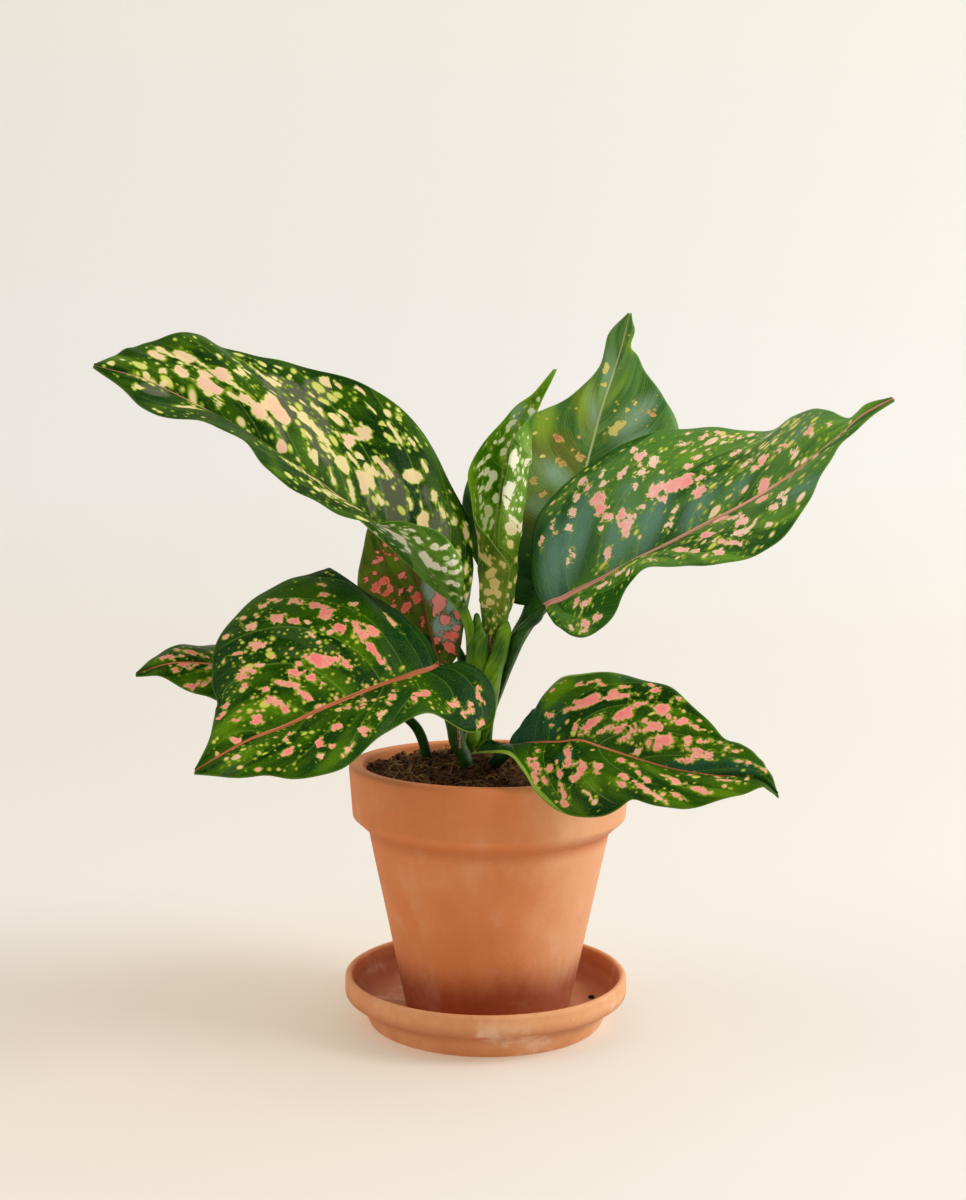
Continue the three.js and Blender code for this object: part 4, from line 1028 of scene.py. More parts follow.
def blade(node, leaf, materials, slot):
    """One leaf blade with both its faces, its midrib and its relief, in place of its CAD node."""
    grid, shares = blade_grid(leaf)
    normals = grid_normals(grid)
    lengths = vein_lengths(grid)
    travel = mean_travel(grid)
    rows = np.arange(len(grid)) / BLADE["spans"]
    share = np.abs(shares)[None, :]
    left_lean, right_lean = leaf["lean"]
    vein_rows = rows[:, None] - np.where(shares > 0, right_lean, left_lean) * share
    veins = vein_rows * leaf["veins"] / (len(leaf["rows"]) - 1)
    curl = curl_widths(leaf, rows, shares)
    lift = blade_lift(node, grid, shares, rows, travel, veins, curl)

    rib_width = leaf["rib"] * (1 - BLADE["rib_narrowing"] * rows / rows[-1])[:, None]
    near_rib = np.exp(-((lengths / rib_width) ** 2))
    taper = (1 - BLADE["rib_flattening"] * rows / rows[-1])[:, None]
    half = BLADE["thickness"] / 2 * (1 - BLADE["edge_thinning"] * share ** 6)
    top = grid + normals * (lift + half - BLADE["rib_sink"] * near_rib * taper)[..., None]
    keel_width = 0.8 * rib_width * max(1, 0.6 * leaf["keel"])
    keel = leaf["keel"] * np.exp(-((lengths / keel_width) ** 2)) * taper
    bottom = grid + normals * (lift - half - keel)[..., None]
    points = np.concatenate([top.reshape(-1, 3), bottom.reshape(-1, 3)])
    faces, kinds = sheet_faces(*grid.shape[:2])
    piece = make_mesh(node.replace("blade", "leaf"), points, faces, materials, kinds)

    areas = {kind: painted(grid, normals, shares, leaf, kind) for kind in PAINT_REACH}
    widest = np.where(shares[None, :] < 0, -lengths[:, :1], lengths[:, -1:])
    before_base = np.minimum(vein_rows, 0) * travel[-1] / rows[-1]
    vein_travel = np.interp(vein_rows, rows, travel) + before_base
    values = {
        "leaf": np.stack(
            [vein_travel, lengths, np.broadcast_to(rib_width, lengths.shape)], axis=-1),
        "vein": veins,
        "edge": widest - np.abs(lengths),
        "depth": areas["spots"][0],
        "tone": areas["spots"][1],
        "bright": areas["bright"][0],
        "grey_and_sheen": areas["grey_and_sheen"][0],
        "calm": areas["calm"][0],
        "curl": curl,
    }
    for key, value in values.items():
        flat = value.reshape(-1, 3) if key == "leaf" else value.reshape(-1)
        add_attribute(piece, key, np.concatenate([flat, flat]))
    return settle(piece, slot, node)


def blade_green(shade, style, flat):
    """Green of a blade: vein panels, clouds, light areas, streaks, grey areas and painted sheen."""
    panel = shade.add("TexWhiteNoise")
    panel.noise_dimensions = "1D"
    shade.feed(panel.inputs["W"], shade.math("FLOOR", shade.attribute("vein")))
    clouds = shade.noise(flat, 0.05, 3, 0.6)
    share = shade.math("MULTIPLY_ADD", panel.outputs["Value"], 0.2, clouds)
    colour = shade.mix(shade.ramp(share, 0.45, 0.72), style["deep"], style["mid"])
    colour = shade.mix(shade.ramp(shade.attribute("calm"), -6, 5, 0, 0.7), colour, style["calm"])
    bright = shade.jitter(shade.attribute("bright"), clouds, 16)
    bright = shade.math("MULTIPLY", shade.ramp(bright, -4, 6), style["light_show"])
    colour = shade.mix(bright, colour, style["light"])
    torn = shade.noise(shade.scaled(flat, (0.5, 0.16, 0)), 1, 3, 0.6)
    # Grey areas: the leaf's own duller grey-green on some blades, a painted sheen on others.
    dull_and_sheen = shade.jitter(shade.attribute("grey_and_sheen"), torn, 5)
    soft = style["patch_soft"]
    dull_and_sheen = shade.math("MULTIPLY", shade.ramp(dull_and_sheen, -soft, soft), style["patch_show"])
    colour = shade.mix(dull_and_sheen, colour, style["patch_and_sheen"])
    streaks = shade.noise(shade.scaled(flat, (1.1, 0.07, 0)), 1, 3, 0.6)
    colour = shade.mix(shade.ramp(streaks, 0.45, 0.8, 0, style["streaks"]), colour, style["light"])
    grain = shade.noise(shade.place(), 1500, 1, 0.5)
    colour = shade.mix(shade.ramp(grain, 0.5, 0.75, 0, 0.16), colour, style["vein"])
    return shade.mix(shade.ramp(grain, 0.5, 0.25, 0, 0.3), colour, style["deep"]), streaks


def blade_dots(shade, place, edge, cell, rare, size):
    """Strewn dots: the depth inside a dot in millimetres, and a chance that picks its colour.

    There is one dot at most in each cell of the given size, and none where its chance is below
    rare. They are sparse in places, and there are none at the edge and in calm areas.
    """
    warp = shade.noise(place, 300 / cell, 1, 0.5, "Color")
    spread = shade.shifted(place, shade.scaled(warp, (cell * MM, cell * MM, cell * MM)))
    cells = shade.add("TexVoronoi", Vector=spread, Scale=1 / (cell * MM), Randomness=1.0)
    chances = shade.add("SeparateColor", Color=cells.outputs["Color"]).outputs
    crowd = shade.noise(place, 55, 2, 0.5)
    reach = shade.math("MULTIPLY", shade.math("SUBTRACT", chances[0], rare), size / (1 - rare))
    reach = shade.math("MULTIPLY", reach, shade.ramp(crowd, 0.4, 0.6, 0.35, 1))
    reach = shade.math("MULTIPLY", reach, shade.ramp(edge, 0.8, 4.0))
    reach = shade.math("MULTIPLY", reach, shade.ramp(shade.attribute("calm"), -3, 3, 1, 0))
    inside = shade.math("MULTIPLY", shade.math("SUBTRACT", reach, cells.outputs["Distance"]), cell)
    inside = shade.math("SUBTRACT", inside, shade.ramp(reach, 0.02, 0.12, 1, 0))
    return inside, shade.math("MULTIPLY", chances[1], chances[0])


def blade_depths(shade, style, place, edge):
    """Depths in millimetres inside placed spots and inside strewn dots, and the dots' chance."""
    wavy = shade.noise(place, style["wave_scale"], 1.5, 0.5)
    corners = shade.add("TexVoronoi", Vector=place, Scale=430, Randomness=1.0)
    chance = shade.add("SeparateColor", Color=corners.outputs["Color"]).outputs[1]
    depth = shade.jitter(shade.attribute("depth"), wavy, style["ragged"])
    depth = shade.jitter(depth, chance, style["cornered"], 0.4)
    turn = math.radians(style["dot_turn"])
    turned_place = shade.add("VectorRotate", Vector=place, Axis=(0, 1, 0), Angle=turn).outputs[0]
    drawn_out = shade.scaled(turned_place, (style["dot_squeeze"], 1, 1))
    dots, luck = blade_dots(shade, drawn_out, edge, *style["dots"][0])
    for kind in style["dots"][1:]:
        more, more_luck = blade_dots(shade, drawn_out, edge, *kind)
        nearer = shade.math("GREATER_THAN", more, dots)
        luck = shade.math("MULTIPLY_ADD", nearer, shade.math("SUBTRACT", more_luck, luck), luck)
        dots = shade.math("MAXIMUM", dots, more)
    return depth, dots, luck


def spotted(shade, style, green, streaks, place, edge):
    """The green with its spots and dots: a yellowish halo, and a fill from cream to pink."""
    depth, dots, luck = blade_depths(shade, style, place, edge)
    halo = shade.math("MAXIMUM", shade.ramp(depth, -0.9, 0.15), shade.ramp(dots, -0.6, 0.1))
    core = shade.ramp(depth, -0.08, 0.3)
    dot_core = shade.ramp(dots, -0.05, 0.4)
    tone_noise = shade.noise(place, 150, 2, 0.6)
    off_tone = shade.math("SUBTRACT", tone_noise, 0.5)
    tone = shade.math(
        "MULTIPLY_ADD", off_tone, style["tone_change"], shade.attribute("tone"), clamp=True)
    fill = shade.mix(tone, style["cream"], style["pink"])
    fill = shade.mix(shade.ramp(depth, 0.2, 1.4, 0.45, 0), fill, style["cream"])
    fill = shade.mix(shade.ramp(streaks, 0.42, 0.75, 0, 0.35), fill, style["spot_dark"])
    dot_fill = shade.mix(shade.ramp(luck, 0.3, 0.5), style["dot"], fill)
    colour = shade.mix(shade.math("MULTIPLY", halo, style["halo_strength"]), green, style["halo"])
    colour = shade.mix(dot_core, colour, dot_fill)
    return shade.mix(core, colour, fill)


def ribbed(shade, style, colour, leaf, out, rib_width, edge):
    """The colour with the midrib and its lengthwise lines, the rolled strip and the pale edge."""
    from_rib = shade.math("DIVIDE", shade.math("ABSOLUTE", out), rib_width)
    rib = shade.math("SUBTRACT", 1, shade.ramp(from_rib, 0.7, 0.95))
    lines = shade.noise(shade.scaled(leaf, (0.02, 2.2, 0)), 1, 2, 0.6)
    rib_colour = shade.mix(shade.ramp(lines, 0.4, 0.62), style["rib_dark"], style["rib"])
    colour = shade.mix(shade.math("MULTIPLY", rib, style["rib_show"]), colour, rib_colour)
    inside_curl = shade.math("SUBTRACT", shade.attribute("curl"), edge)
    colour = shade.mix(shade.ramp(inside_curl, 0.0, 0.7, 0, 0.9), colour, style["curl"])
    rim = shade.math("SUBTRACT", 1, shade.ramp(edge, 0.2, 1.0))
    return shade.mix(shade.math("MULTIPLY", rim, 0.35), colour, style["rim"])


def blade_material(name, style, under=False):
    """A blade's skin, whose veins are creases on top and stand out underneath."""
    shade = Shader(name, style["roughness"], style["gloss"])
    leaf = shade.attribute("leaf", "Vector")
    along, out, rib_width = shade.add("SeparateXYZ", Vector=leaf).outputs
    seed = style["seed"]
    flat = shade.shifted(shade.scaled(leaf, (1, 1, 0)), (seed, 3.7 * seed, 0.3 * seed))
    edge = shade.attribute("edge")
    green, streaks = blade_green(shade, style, flat)

    to_vein = shade.math("PINGPONG", shade.attribute("vein"), 0.5)
    vein = shade.math("SUBTRACT", 1, shade.ramp(to_vein, 0.0, 0.035))
    fade = shade.ramp(edge, 0.5, 9)
    vein_share = shade.math("MULTIPLY", shade.math("MULTIPLY", vein, fade), 0.4)
    green = shade.mix(vein_share, green, style["vein"])

    place = shade.place()
    colour = spotted(shade, style, green, streaks, place, edge)
    # The base tint multiplies the colour near the base: painted shade on the plain leaf, its own
    # beige on the young leaf's back.
    if "base_tint_and_shade" in style:
        tinted_and_shaded = shade.mix(1, colour, style["base_tint_and_shade"], "MULTIPLY")
        colour = shade.mix(shade.ramp(along, *style["base_reach"], 1, 0), colour, tinted_and_shaded)
    colour = ribbed(shade, style, colour, leaf, out, rib_width, edge)

    grain = shade.noise(place, 1900, 2, 0.6)
    normal = shade.bump(grain, 0.00012, 0.35)
    normal = shade.bump(streaks, 0.0006, 0.2, normal)
    normal = shade.bump(vein, 0.0005, 0.5 if under else -0.4, normal)
    return shade.finish(colour, normal, style["painted_glow"])


# Leaf styles. light_show, patch_show, rib_show and halo_strength are shares; patch_soft, ragged
# and cornered are in millimetres; each kind of dot is (cell in millimetres, rare, size), and
# dots are drawn out along the direction dot_turn, in degrees, by the squeeze.

# A style's glow strength is painted light, standing in for light shining through the thin blade.
PINK_LEAF = {
    "seed": 1, "roughness": 0.36, "gloss": 0.05, "painted_glow": 0, "streaks": 0.08,
    "deep": linear(4, 50, 0), "mid": linear(50, 90, 2), "light": linear(106, 150, 10),
    "light_show": 0.55, "patch_and_sheen": linear(56, 84, 36), "patch_soft": 1.2, "patch_show": 0.8,
    "vein": linear(126, 160, 60), "pink": linear(255, 134, 130), "cream": linear(254, 200, 164),
    "spot_dark": linear(232, 108, 100), "halo": linear(142, 168, 30), "halo_strength": 0.85,
    "dot": linear(212, 208, 92), "tone_change": 0.9, "ragged": 3.0, "cornered": 1.7,
    "wave_scale": 270,
    "dots": [(4.6, 0.78, 0.5), (3.0, 0.6, 0.5), (2.0, 0.68, 0.45)], "dot_turn": 30,
    "dot_squeeze": 0.85,
    "calm": linear(4, 54, 18),
    "rib": linear(222, 132, 96), "rib_dark": linear(160, 88, 50), "rib_show": 0.97,
    "rim": linear(128, 160, 60), "curl": linear(138, 168, 60),
}
# Its greens and patch colour are lighter and bluer than its own: in part a painted sheen.
BLUE_PINK_LEAF = {
    **PINK_LEAF, "seed": 2, "deep": linear(26, 78, 12), "mid": linear(80, 126, 46),
    "light": linear(126, 176, 36), "patch_and_sheen": linear(96, 136, 116), "patch_soft": 4.5,
    "patch_show": 0.9,
    "pink": linear(255, 158, 152), "cream": linear(255, 222, 196), "rib": linear(244, 168, 148),
    "rib_dark": linear(160, 116, 88), "gloss": 0.1, "streaks": 0.16,
    "dots": [(4.6, 0.6, 0.5), (3.0, 0.45, 0.5), (2.0, 0.5, 0.45)], "dot_turn": 50,
    "dot_squeeze": 0.5,
    "calm": linear(16, 62, 34), "painted_glow": 0.14,
}
RIM_LEAF = {
    **PINK_LEAF, "seed": 8, "light_show": 0.75, "patch_and_sheen": linear(34, 82, 58), "patch_soft": 2.5,
    "ragged": 2.5, "cornered": 1.3,
    "dots": [(4.6, 0.86, 0.5), (3.0, 0.8, 0.5), (2.0, 0.85, 0.45)],
}
CREAM_LEAF = {
    **PINK_LEAF, "seed": 3, "deep": linear(4, 48, 0), "mid": linear(50, 88, 2),
    "patch_and_sheen": linear(94, 98, 76),
    "patch_soft": 0.8, "patch_show": 1, "pink": linear(250, 194, 172),
    "cream": linear(240, 224, 162),
    "spot_dark": linear(226, 186, 128), "dot": linear(214, 214, 112), "halo": linear(142, 172, 30),
    "rib": linear(226, 176, 146), "rib_dark": linear(176, 126, 92), "wave_scale": 230,
    "ragged": 3.2,
    "cornered": 0.3,
    "dots": [(6.6, 0.3, 0.58), (4.4, 0.28, 0.54), (2.7, 0.36, 0.5)], "dot_turn": -60,
    "dot_squeeze": 0.62,
}
# Its greens and cream are lighter than the leaf's own: painted light on the shaded inner face.
YOUNG_LEAF = {
    **CREAM_LEAF, "seed": 4, "deep": linear(50, 104, 2), "mid": linear(110, 154, 30),
    "light": linear(150, 182, 70), "patch_and_sheen": linear(140, 170, 150), "patch_soft": 3,
    "cream": linear(255, 252, 226), "painted_glow": 0.16,
    "pink": linear(232, 226, 160), "spot_dark": linear(246, 240, 196), "rib_show": 0.3,
    "wave_scale": 280,
    "halo": linear(150, 186, 60),
    "dots": [(4.2, 0.4, 0.54), (3.0, 0.35, 0.52), (2.0, 0.45, 0.5)], "dot_turn": 90,
    "dot_squeeze": 0.65,
}
PLAIN_LEAF = {
    **PINK_LEAF, "seed": 5, "deep": linear(50, 98, 38), "mid": linear(100, 146, 76),
    "light": linear(150, 180, 40), "light_show": 0.7, "patch_and_sheen": linear(146, 180, 152),
    "patch_soft": 4.5, "streaks": 0.5,
    # The base tint is painted shade, darkening the base where it lies behind the leaves in front.
    "calm": linear(116, 112, 44), "base_tint_and_shade": linear(110, 140, 110), "base_reach": (22, 62),
    "halo_strength": 0.45, "halo": linear(150, 140, 56), "pink": linear(196, 118, 82),
    "spot_dark": linear(190, 104, 70), "cream": linear(226, 222, 120), "dot": linear(180, 200, 80),
    "dots": [(4.6, 0.8, 0.5), (2.8, 0.7, 0.5)],
    "rib": linear(206, 212, 152), "rib_dark": linear(170, 186, 116), "roughness": 0.42,
    "gloss": 0.1,
}
# Its pale blue-grey patch colour is a painted reflection, on a blade that lies in shade.
DARK_LEAF = {
    **PINK_LEAF, "seed": 6, "deep": linear(34, 62, 8), "mid": linear(92, 106, 30),
    "light": linear(110, 144, 30), "patch_and_sheen": linear(150, 176, 164), "patch_soft": 2,
    "patch_show": 0.95,
    "pink": linear(244, 106, 84), "cream": linear(255, 156, 150),
    "spot_dark": linear(212, 88, 64), "rib": linear(160, 112, 70), "rib_dark": linear(116, 80, 46),
    "halo": linear(120, 70, 36), "dot": linear(196, 104, 70), "painted_glow": 0.02,
    "dots": [(4.6, 0.7, 0.5), (2.8, 0.55, 0.5)],
}


def underside(style):
    """The same leaf from below: paler and duller, with cream spots."""
    return {
        **style, "seed": style["seed"] + 20, "roughness": 0.5, "gloss": 0.1,
        "deep": linear(54, 104, 14), "mid": linear(102, 148, 46), "light": linear(156, 182, 84),
        "patch_and_sheen": linear(130, 164, 84), "vein": linear(150, 182, 110), "pink": linear(240, 230, 190),
        "cream": linear(255, 252, 226), "spot_dark": linear(226, 232, 190),
        "dot": linear(222, 232, 176),
        "halo": linear(140, 180, 84), "rib": linear(150, 176, 80), "rib_dark": linear(110, 144, 50),
        "rim": linear(150, 180, 90),
    }


YOUNG_UNDER = {
    **underside(YOUNG_LEAF), "painted_glow": 0.05, "base_tint_and_shade": linear(224, 206, 150),
    "base_reach": (26, 52),
}


def build_blades():
    """Every blade with the skins of its two faces."""
    looks = {
        "blade_upper_left": (CREAM_LEAF, underside(CREAM_LEAF), "leaf_cream_spotted"),
        "blade_centre": (YOUNG_LEAF, YOUNG_UNDER, "leaf_cream_spotted"),
        "blade_upper_back": (PLAIN_LEAF, underside(PLAIN_LEAF), "leaf_plain"),
        "blade_right": (BLUE_PINK_LEAF, underside(BLUE_PINK_LEAF), "leaf_pink_spotted"),
        "blade_lower_left": (PINK_LEAF, underside(PINK_LEAF), "leaf_pink_spotted"),
        "blade_far_left": ({**PINK_LEAF, "seed": 7}, underside(PINK_LEAF), "leaf_pink_spotted"),
        "blade_middle_back": (DARK_LEAF, underside(DARK_LEAF), "leaf_dark_spotted"),
        "blade_lower_right": (RIM_LEAF, underside(PINK_LEAF), "leaf_pink_spotted"),
    }
    for name, (style, under_style, slot) in looks.items():
        top = blade_material(name + "_top", style)
        under = blade_material(name + "_under", under_style, under=True)
        blade(name, {**LEAF_DEFAULTS, **LEAVES[name]}, [top, under], slot)


# ---- Stem pieces -------------------------------------------------------------------------

def rod_rings(stations):
    """Middles and the two half axes of the rings round a curved rod."""
    count = STEM["spans"] * (len(stations) - 1)
    axis = spline([station[:3] for station in stations], count)
    radii = spline([[station[3], 0, 0] for station in stations], count)[:, 0]
    ahead = unit(np.gradient(axis, axis=0))
    side = unit(np.cross(ahead[0], [0.0, 1.0, 0.2]))
    sides, others = [], []
    for i in range(count + 1):
        side = unit(side - ahead[i] * (side @ ahead[i]))
        sides.append(side * radii[i])
        others.append(np.cross(ahead[i], side) * radii[i])
    return axis, np.array(sides), np.array(others)


def sheath_rings(stations):
    """The same for a flattened sheath that is given by its left and right edges."""
    count = STEM["spans"] * (len(stations) - 1)
    left = spline([(xl, y, zl) for xl, zl, xr, zr, y, depth in stations], count)
    right = spline([(xr, y, zr) for xl, zl, xr, zr, y, depth in stations], count)
    depths = spline([(0, station[5], 0) for station in stations], count)
    return (left + right) / 2, (right - left) / 2, depths


def stem_skin(rings, seed):
    """Points and faces over a stack of rings, and where each point is on the stem.

    That place is its travel, its way round and its share of the length.
    """
    axis, sides, others = rings
    count = len(axis) - 1
    round_sides = STEM["sides"]
    travel = np.concatenate([[0], np.cumsum(np.linalg.norm(np.diff(axis, axis=0), axis=1))])
    points, places = [], []
    for i in range(count + 1):
        for k in range(round_sides):
            angle = 2 * math.pi * k / round_sides
            out = sides[i] * math.cos(angle) + others[i] * math.sin(angle)
            spot = Vector((math.cos(angle) * 1.2 + seed, math.sin(angle) * 1.2, travel[i] * 0.05))
            ribs = STEM["rib_height"] * math.cos(STEM["ribs"] * angle + seed)
            points.append(axis[i] + out * (1 + STEM["lump"] * noise.noise(spot) + ribs))
            places.append((travel[i], angle * np.linalg.norm(sides[i]), i / count))
    faces = []
    for i in range(count):
        for k in range(round_sides):
            after = (k + 1) % round_sides
            a, b = i * round_sides + k, i * round_sides + after
            faces.append((a, b, b + round_sides, a + round_sides))
    first, last = len(points), len(points) + 1
    onward = unit(axis[-1] - axis[-2]) * np.linalg.norm(others[-1]) * STEM["cap"]
    points += [axis[0], axis[-1] + onward]
    places += [(0, 0, 0), (travel[-1], 0, 1)]
    end = count * round_sides
    for k in range(round_sides):
        after = (k + 1) % round_sides
        faces.append((first, after, k))
        faces.append((last, end + k, end + after))
    return points, faces, places


def stem_piece(name, parts, material, slot, *nodes):
    """One piece out of stacks of rings, each with a lightness from 0 to 1, partly painted light."""
    points, faces, places, tints_and_painted_light = [], [], [], []
    for index, (rings, tint_and_painted_light) in enumerate(parts):
        start = len(points)
        more, more_faces, more_places = stem_skin(rings, index * 3.1)
        points += more
        places += more_places
        tints_and_painted_light += [tint_and_painted_light] * len(more)
        faces += [tuple(start + corner for corner in face) for face in more_faces]
    piece = make_mesh(name, points, faces, [material])
    add_attribute(piece, "stem", np.array(places))
    add_attribute(piece, "tint_and_painted_light", tints_and_painted_light)
    return settle(piece, slot, *nodes)


def stem_material():
    """Smooth green skin with fine lengthwise lines, darker blots and darker upper ends."""
    shade = Shader("stem_skin", 0.34, 0.22)
    stem = shade.attribute("stem", "Vector")
    length_share = shade.add("SeparateXYZ", Vector=stem).outputs[2]
    lines = shade.noise(shade.scaled(stem, (0.04, 1.1, 0)), 1, 3, 0.6)
    blots = shade.noise(shade.scaled(stem, (0.09, 0.2, 0)), 1, 3, 0.6)
    clouds = shade.noise(shade.place(), 60, 2, 0.5)
    # The lightness is partly each part's own green and partly painted light on parts in shade.
    light = shade.jitter(shade.attribute("tint_and_painted_light"), clouds, 1.1)
    light = shade.jitter(light, lines, 0.9)
    colour = shade.mix(shade.ramp(light, 0.0, 0.5), linear(4, 28, 0), linear(38, 84, 4))
    colour = shade.mix(shade.ramp(light, 0.4, 1.1), colour, linear(126, 168, 16))
    colour = shade.mix(shade.ramp(blots, 0.62, 0.8, 0, 0.5), colour, linear(36, 48, 8))
    tip = shade.ramp(length_share, 0.86, 1.0, 0, 0.5)
    colour = shade.mix(tip, colour, linear(24, 62, 10))
    return shade.finish(colour, shade.bump(lines, 0.0006, 0.4))


def scar_material():
    """Dry, pale brownish skin of the old leaf scar and of the gap between the sheaths."""
    shade = Shader("stem_scar", 0.7, 0.2)
    grain = shade.noise(shade.place(), 900, 3, 0.6)
    colour = shade.mix(shade.ramp(grain, 0.35, 0.65), linear(92, 52, 40), linear(190, 150, 120))
    return shade.finish(colour, shade.bump(grain, 0.0004, 0.5))


def build_young_sheath():
    """The foot of the young leaf, still wrapped round the cane: spotted like its back."""
    material = blade_material("young_sheath_skin", {
        **YOUNG_UNDER, "rib_show": 0, "base_reach": (500, 501),
        "dots": [(3.4, 0.1, 0.6), (2.2, 0.2, 0.6), (1.5, 0.2, 0.5)],
    })
    points, faces, places = stem_skin(sheath_rings(YOUNG_SHEATH), 2.0)
    piece = make_mesh("young_sheath", points, faces, [material])
    off_rib = (0, 9, 1)
    add_attribute(piece, "leaf", np.array(places) + off_rib)
    between_veins, far_from_edge = 0.5, 20
    values = {
        "vein": between_veins, "edge": far_from_edge, "depth": OUTSIDE, "tone": 0,
        "bright": OUTSIDE, "grey_and_sheen": OUTSIDE, "calm": OUTSIDE, "curl": 0,
    }
    for key, value in values.items():
        add_attribute(piece, key, [value] * len(points))
    settle(piece, "leaf_cream_spotted")


def build_stems():
    """The clump, the front cane, the far left petiole, the dry scars and the young leaf's foot."""
    skin = stem_material()
    clump = [(rod_rings(rod), CLUMP_ROD_LIGHT) for rod in CLUMP_RODS]
    clump += [(sheath_rings(stations), light) for stations, light in CLUMP_SHEATHS]
    cane = [(sheath_rings(FRONT_CANE), SINGLE_STEM_LIGHT)]
    petiole = [(rod_rings(SIDE_PETIOLE), SINGLE_STEM_LIGHT)]
    scars = [(rod_rings(scar), 0) for scar in SCARS]
    stem_piece("stems", clump, skin, "stem", "stem_clump")
    stem_piece("front_cane", cane, skin, "stem", "cane_front")
    stem_piece("side_petiole", petiole, skin, "stem", "petiole_far_left")
    stem_piece("leaf_scar", scars, scar_material(), "stem")
    build_young_sheath()


# ---- Pot and saucer ----------------------------------------------------------------------

def arc(cx, cz, radius, from_degrees, to_degrees, steps):
    """Points on an arc of the profile, with 0 degrees outward and 90 up."""
    angles = np.radians(np.linspace(from_degrees, to_degrees, steps + 1))
    return [(cx + radius * math.cos(t), cz + radius * math.sin(t)) for t in angles]


def eased(profile, step=1.6):
    """The profile with points no further apart than step."""
    fine = []
    for (r0, z0), (r1, z1) in zip(profile, profile[1:]):
        count = max(1, math.ceil(math.hypot(r1 - r0, z1 - z0) / step))
        fine += [(r0 + (r1 - r0) * k / count, z0 + (z1 - z0) * k / count) for k in range(count)]
    return fine + [profile[-1]]


def turned(name, profile, centre_x, wobble, material, closed=False):
    """A turned body: a ring if its profile is closed, else solid from axis to axis."""
    points, rings = [], []
    for radius, height in profile:
        if radius == 0:
            rings.append([len(points)])
            points.append((centre_x, 0, height))
            continue
        ring = []
        for k in range(ROUND_SIDES):
            angle = 2 * math.pi * k / ROUND_SIDES
            spot = Vector((math.cos(angle) * 1.6, math.sin(angle) * 1.6, height * 0.03))
            at = radius + wobble * noise.noise(spot)
            ring.append(len(points))
            points.append((centre_x + at * math.cos(angle), at * math.sin(angle), height))
        rings.append(ring)
    if closed:
        rings.append(rings[0])
    faces = []
    for low, high in zip(rings, rings[1:]):
        for k in range(ROUND_SIDES):
            after = (k + 1) % ROUND_SIDES
            if len(low) == 1:
                faces.append((low[0], high[after], high[k]))
            elif len(high) == 1:
                faces.append((low[k], low[after], high[0]))
            else:
                faces.append((low[k], low[after], high[after], high[k]))
    return make_mesh(name, points, faces, [material])


# The pot's right side is painted paler: a painted sheen where the lamp grazes it.
POT_CLAY = {
    "base": linear(216, 124, 66), "light": linear(224, 136, 78), "dark": linear(198, 108, 54),
    "damp": linear(150, 62, 26), "damp_top": POT["damp_height"], "bloom": 0.12, "painted_sheen_side": 0.36,
    # The painted shade line lies at this height, just under the collar.
    "corner": POT["body_top"] + 1,
}
SAUCER_CLAY = {
    "base": linear(216, 142, 90), "light": linear(232, 170, 120), "dark": linear(176, 100, 56),
    "damp": linear(176, 92, 50), "damp_top": 0, "bloom": 0.55, "painted_sheen_side": 0,
    # The painted shade line lies at this height, just under the band.
    "corner": SAUCER["band_bottom"] - 1,
}


def damp_inside(shade, place, height):
    """The share of water that the wet inside of the saucer shows."""
    radius = shade.length(shade.scaled(place, (1, 1, 0)))
    slant = shade.math("MULTIPLY_ADD", height, -SAUCER["wet_slope"], radius)
    wall, floor = SAUCER["wet_radius"] * MM, SAUCER["wet_slant"] * MM
    within = shade.ramp(radius, wall, wall + MM, 0.5, 0)
    above = shade.ramp(slant, floor, floor + MM, 1, 0)
    return shade.math("MULTIPLY", within, above)


def clay_material(name, clay, wet_inside=False):
    """Fired clay: cloudy, grainy, darker where damp, with painted shade and a painted sheen."""
    shade = Shader(name, 0.7, 0.5)
    place = shade.place()
    x, _, height = shade.add("SeparateXYZ", Vector=place).outputs
    clouds = shade.noise(place, 22, 4, 0.6)
    streaks = shade.noise(shade.scaled(place, (60, 60, 14)), 1, 4, 0.6)
    colour = shade.mix(shade.ramp(clouds, 0.3, 0.7), clay["base"], clay["light"])
    colour = shade.mix(shade.ramp(streaks, 0.5, 0.8, 0, 0.3), colour, clay["dark"])
    # Painted sheen: the clay turns paler towards its right side, where the lamp grazes it.
    sheen_side = shade.jitter(x, clouds, 0.03)
    sheen_share = shade.ramp(sheen_side, 0.008, 0.046, 0, clay["painted_sheen_side"])
    colour = shade.mix(sheen_share, colour, linear(240, 206, 166))
    # Painted shade: a dark band just under the pot's collar and under the saucer's band.
    off_shade_line = shade.math("ABSOLUTE", shade.math("SUBTRACT", height, clay["corner"] * MM))
    colour = shade.mix(shade.ramp(off_shade_line, 0, 0.007, 0.75, 0), colour, clay["dark"])
    if clay["damp_top"]:
        damp_top = clay["damp_top"] * MM
        wet = shade.jitter(height, streaks, -0.02)
        colour = shade.mix(shade.ramp(wet, damp_top * 0.45, damp_top, 0.8, 0), colour, clay["damp"])
    if wet_inside:
        colour = shade.mix(damp_inside(shade, place, height), colour, clay["damp"])
    salt = shade.noise(place, 46, 5, 0.65)
    salt_share = shade.ramp(salt, 0.52, 0.72, 0, clay["bloom"])
    colour = shade.mix(salt_share, colour, linear(240, 206, 178))
    specks = shade.noise(place, 1100, 2, 0.5)
    colour = shade.mix(shade.ramp(specks, 0.62, 0.72, 0, 0.35), colour, clay["dark"])
    grain = shade.noise(place, 1500, 3, 0.6)
    dents = shade.noise(place, 220, 3, 0.6)
    normal = shade.bump(grain, 0.00025, 0.5)
    normal = shade.bump(dents, 0.0006, 0.35, normal)
    return shade.finish(colour, normal)


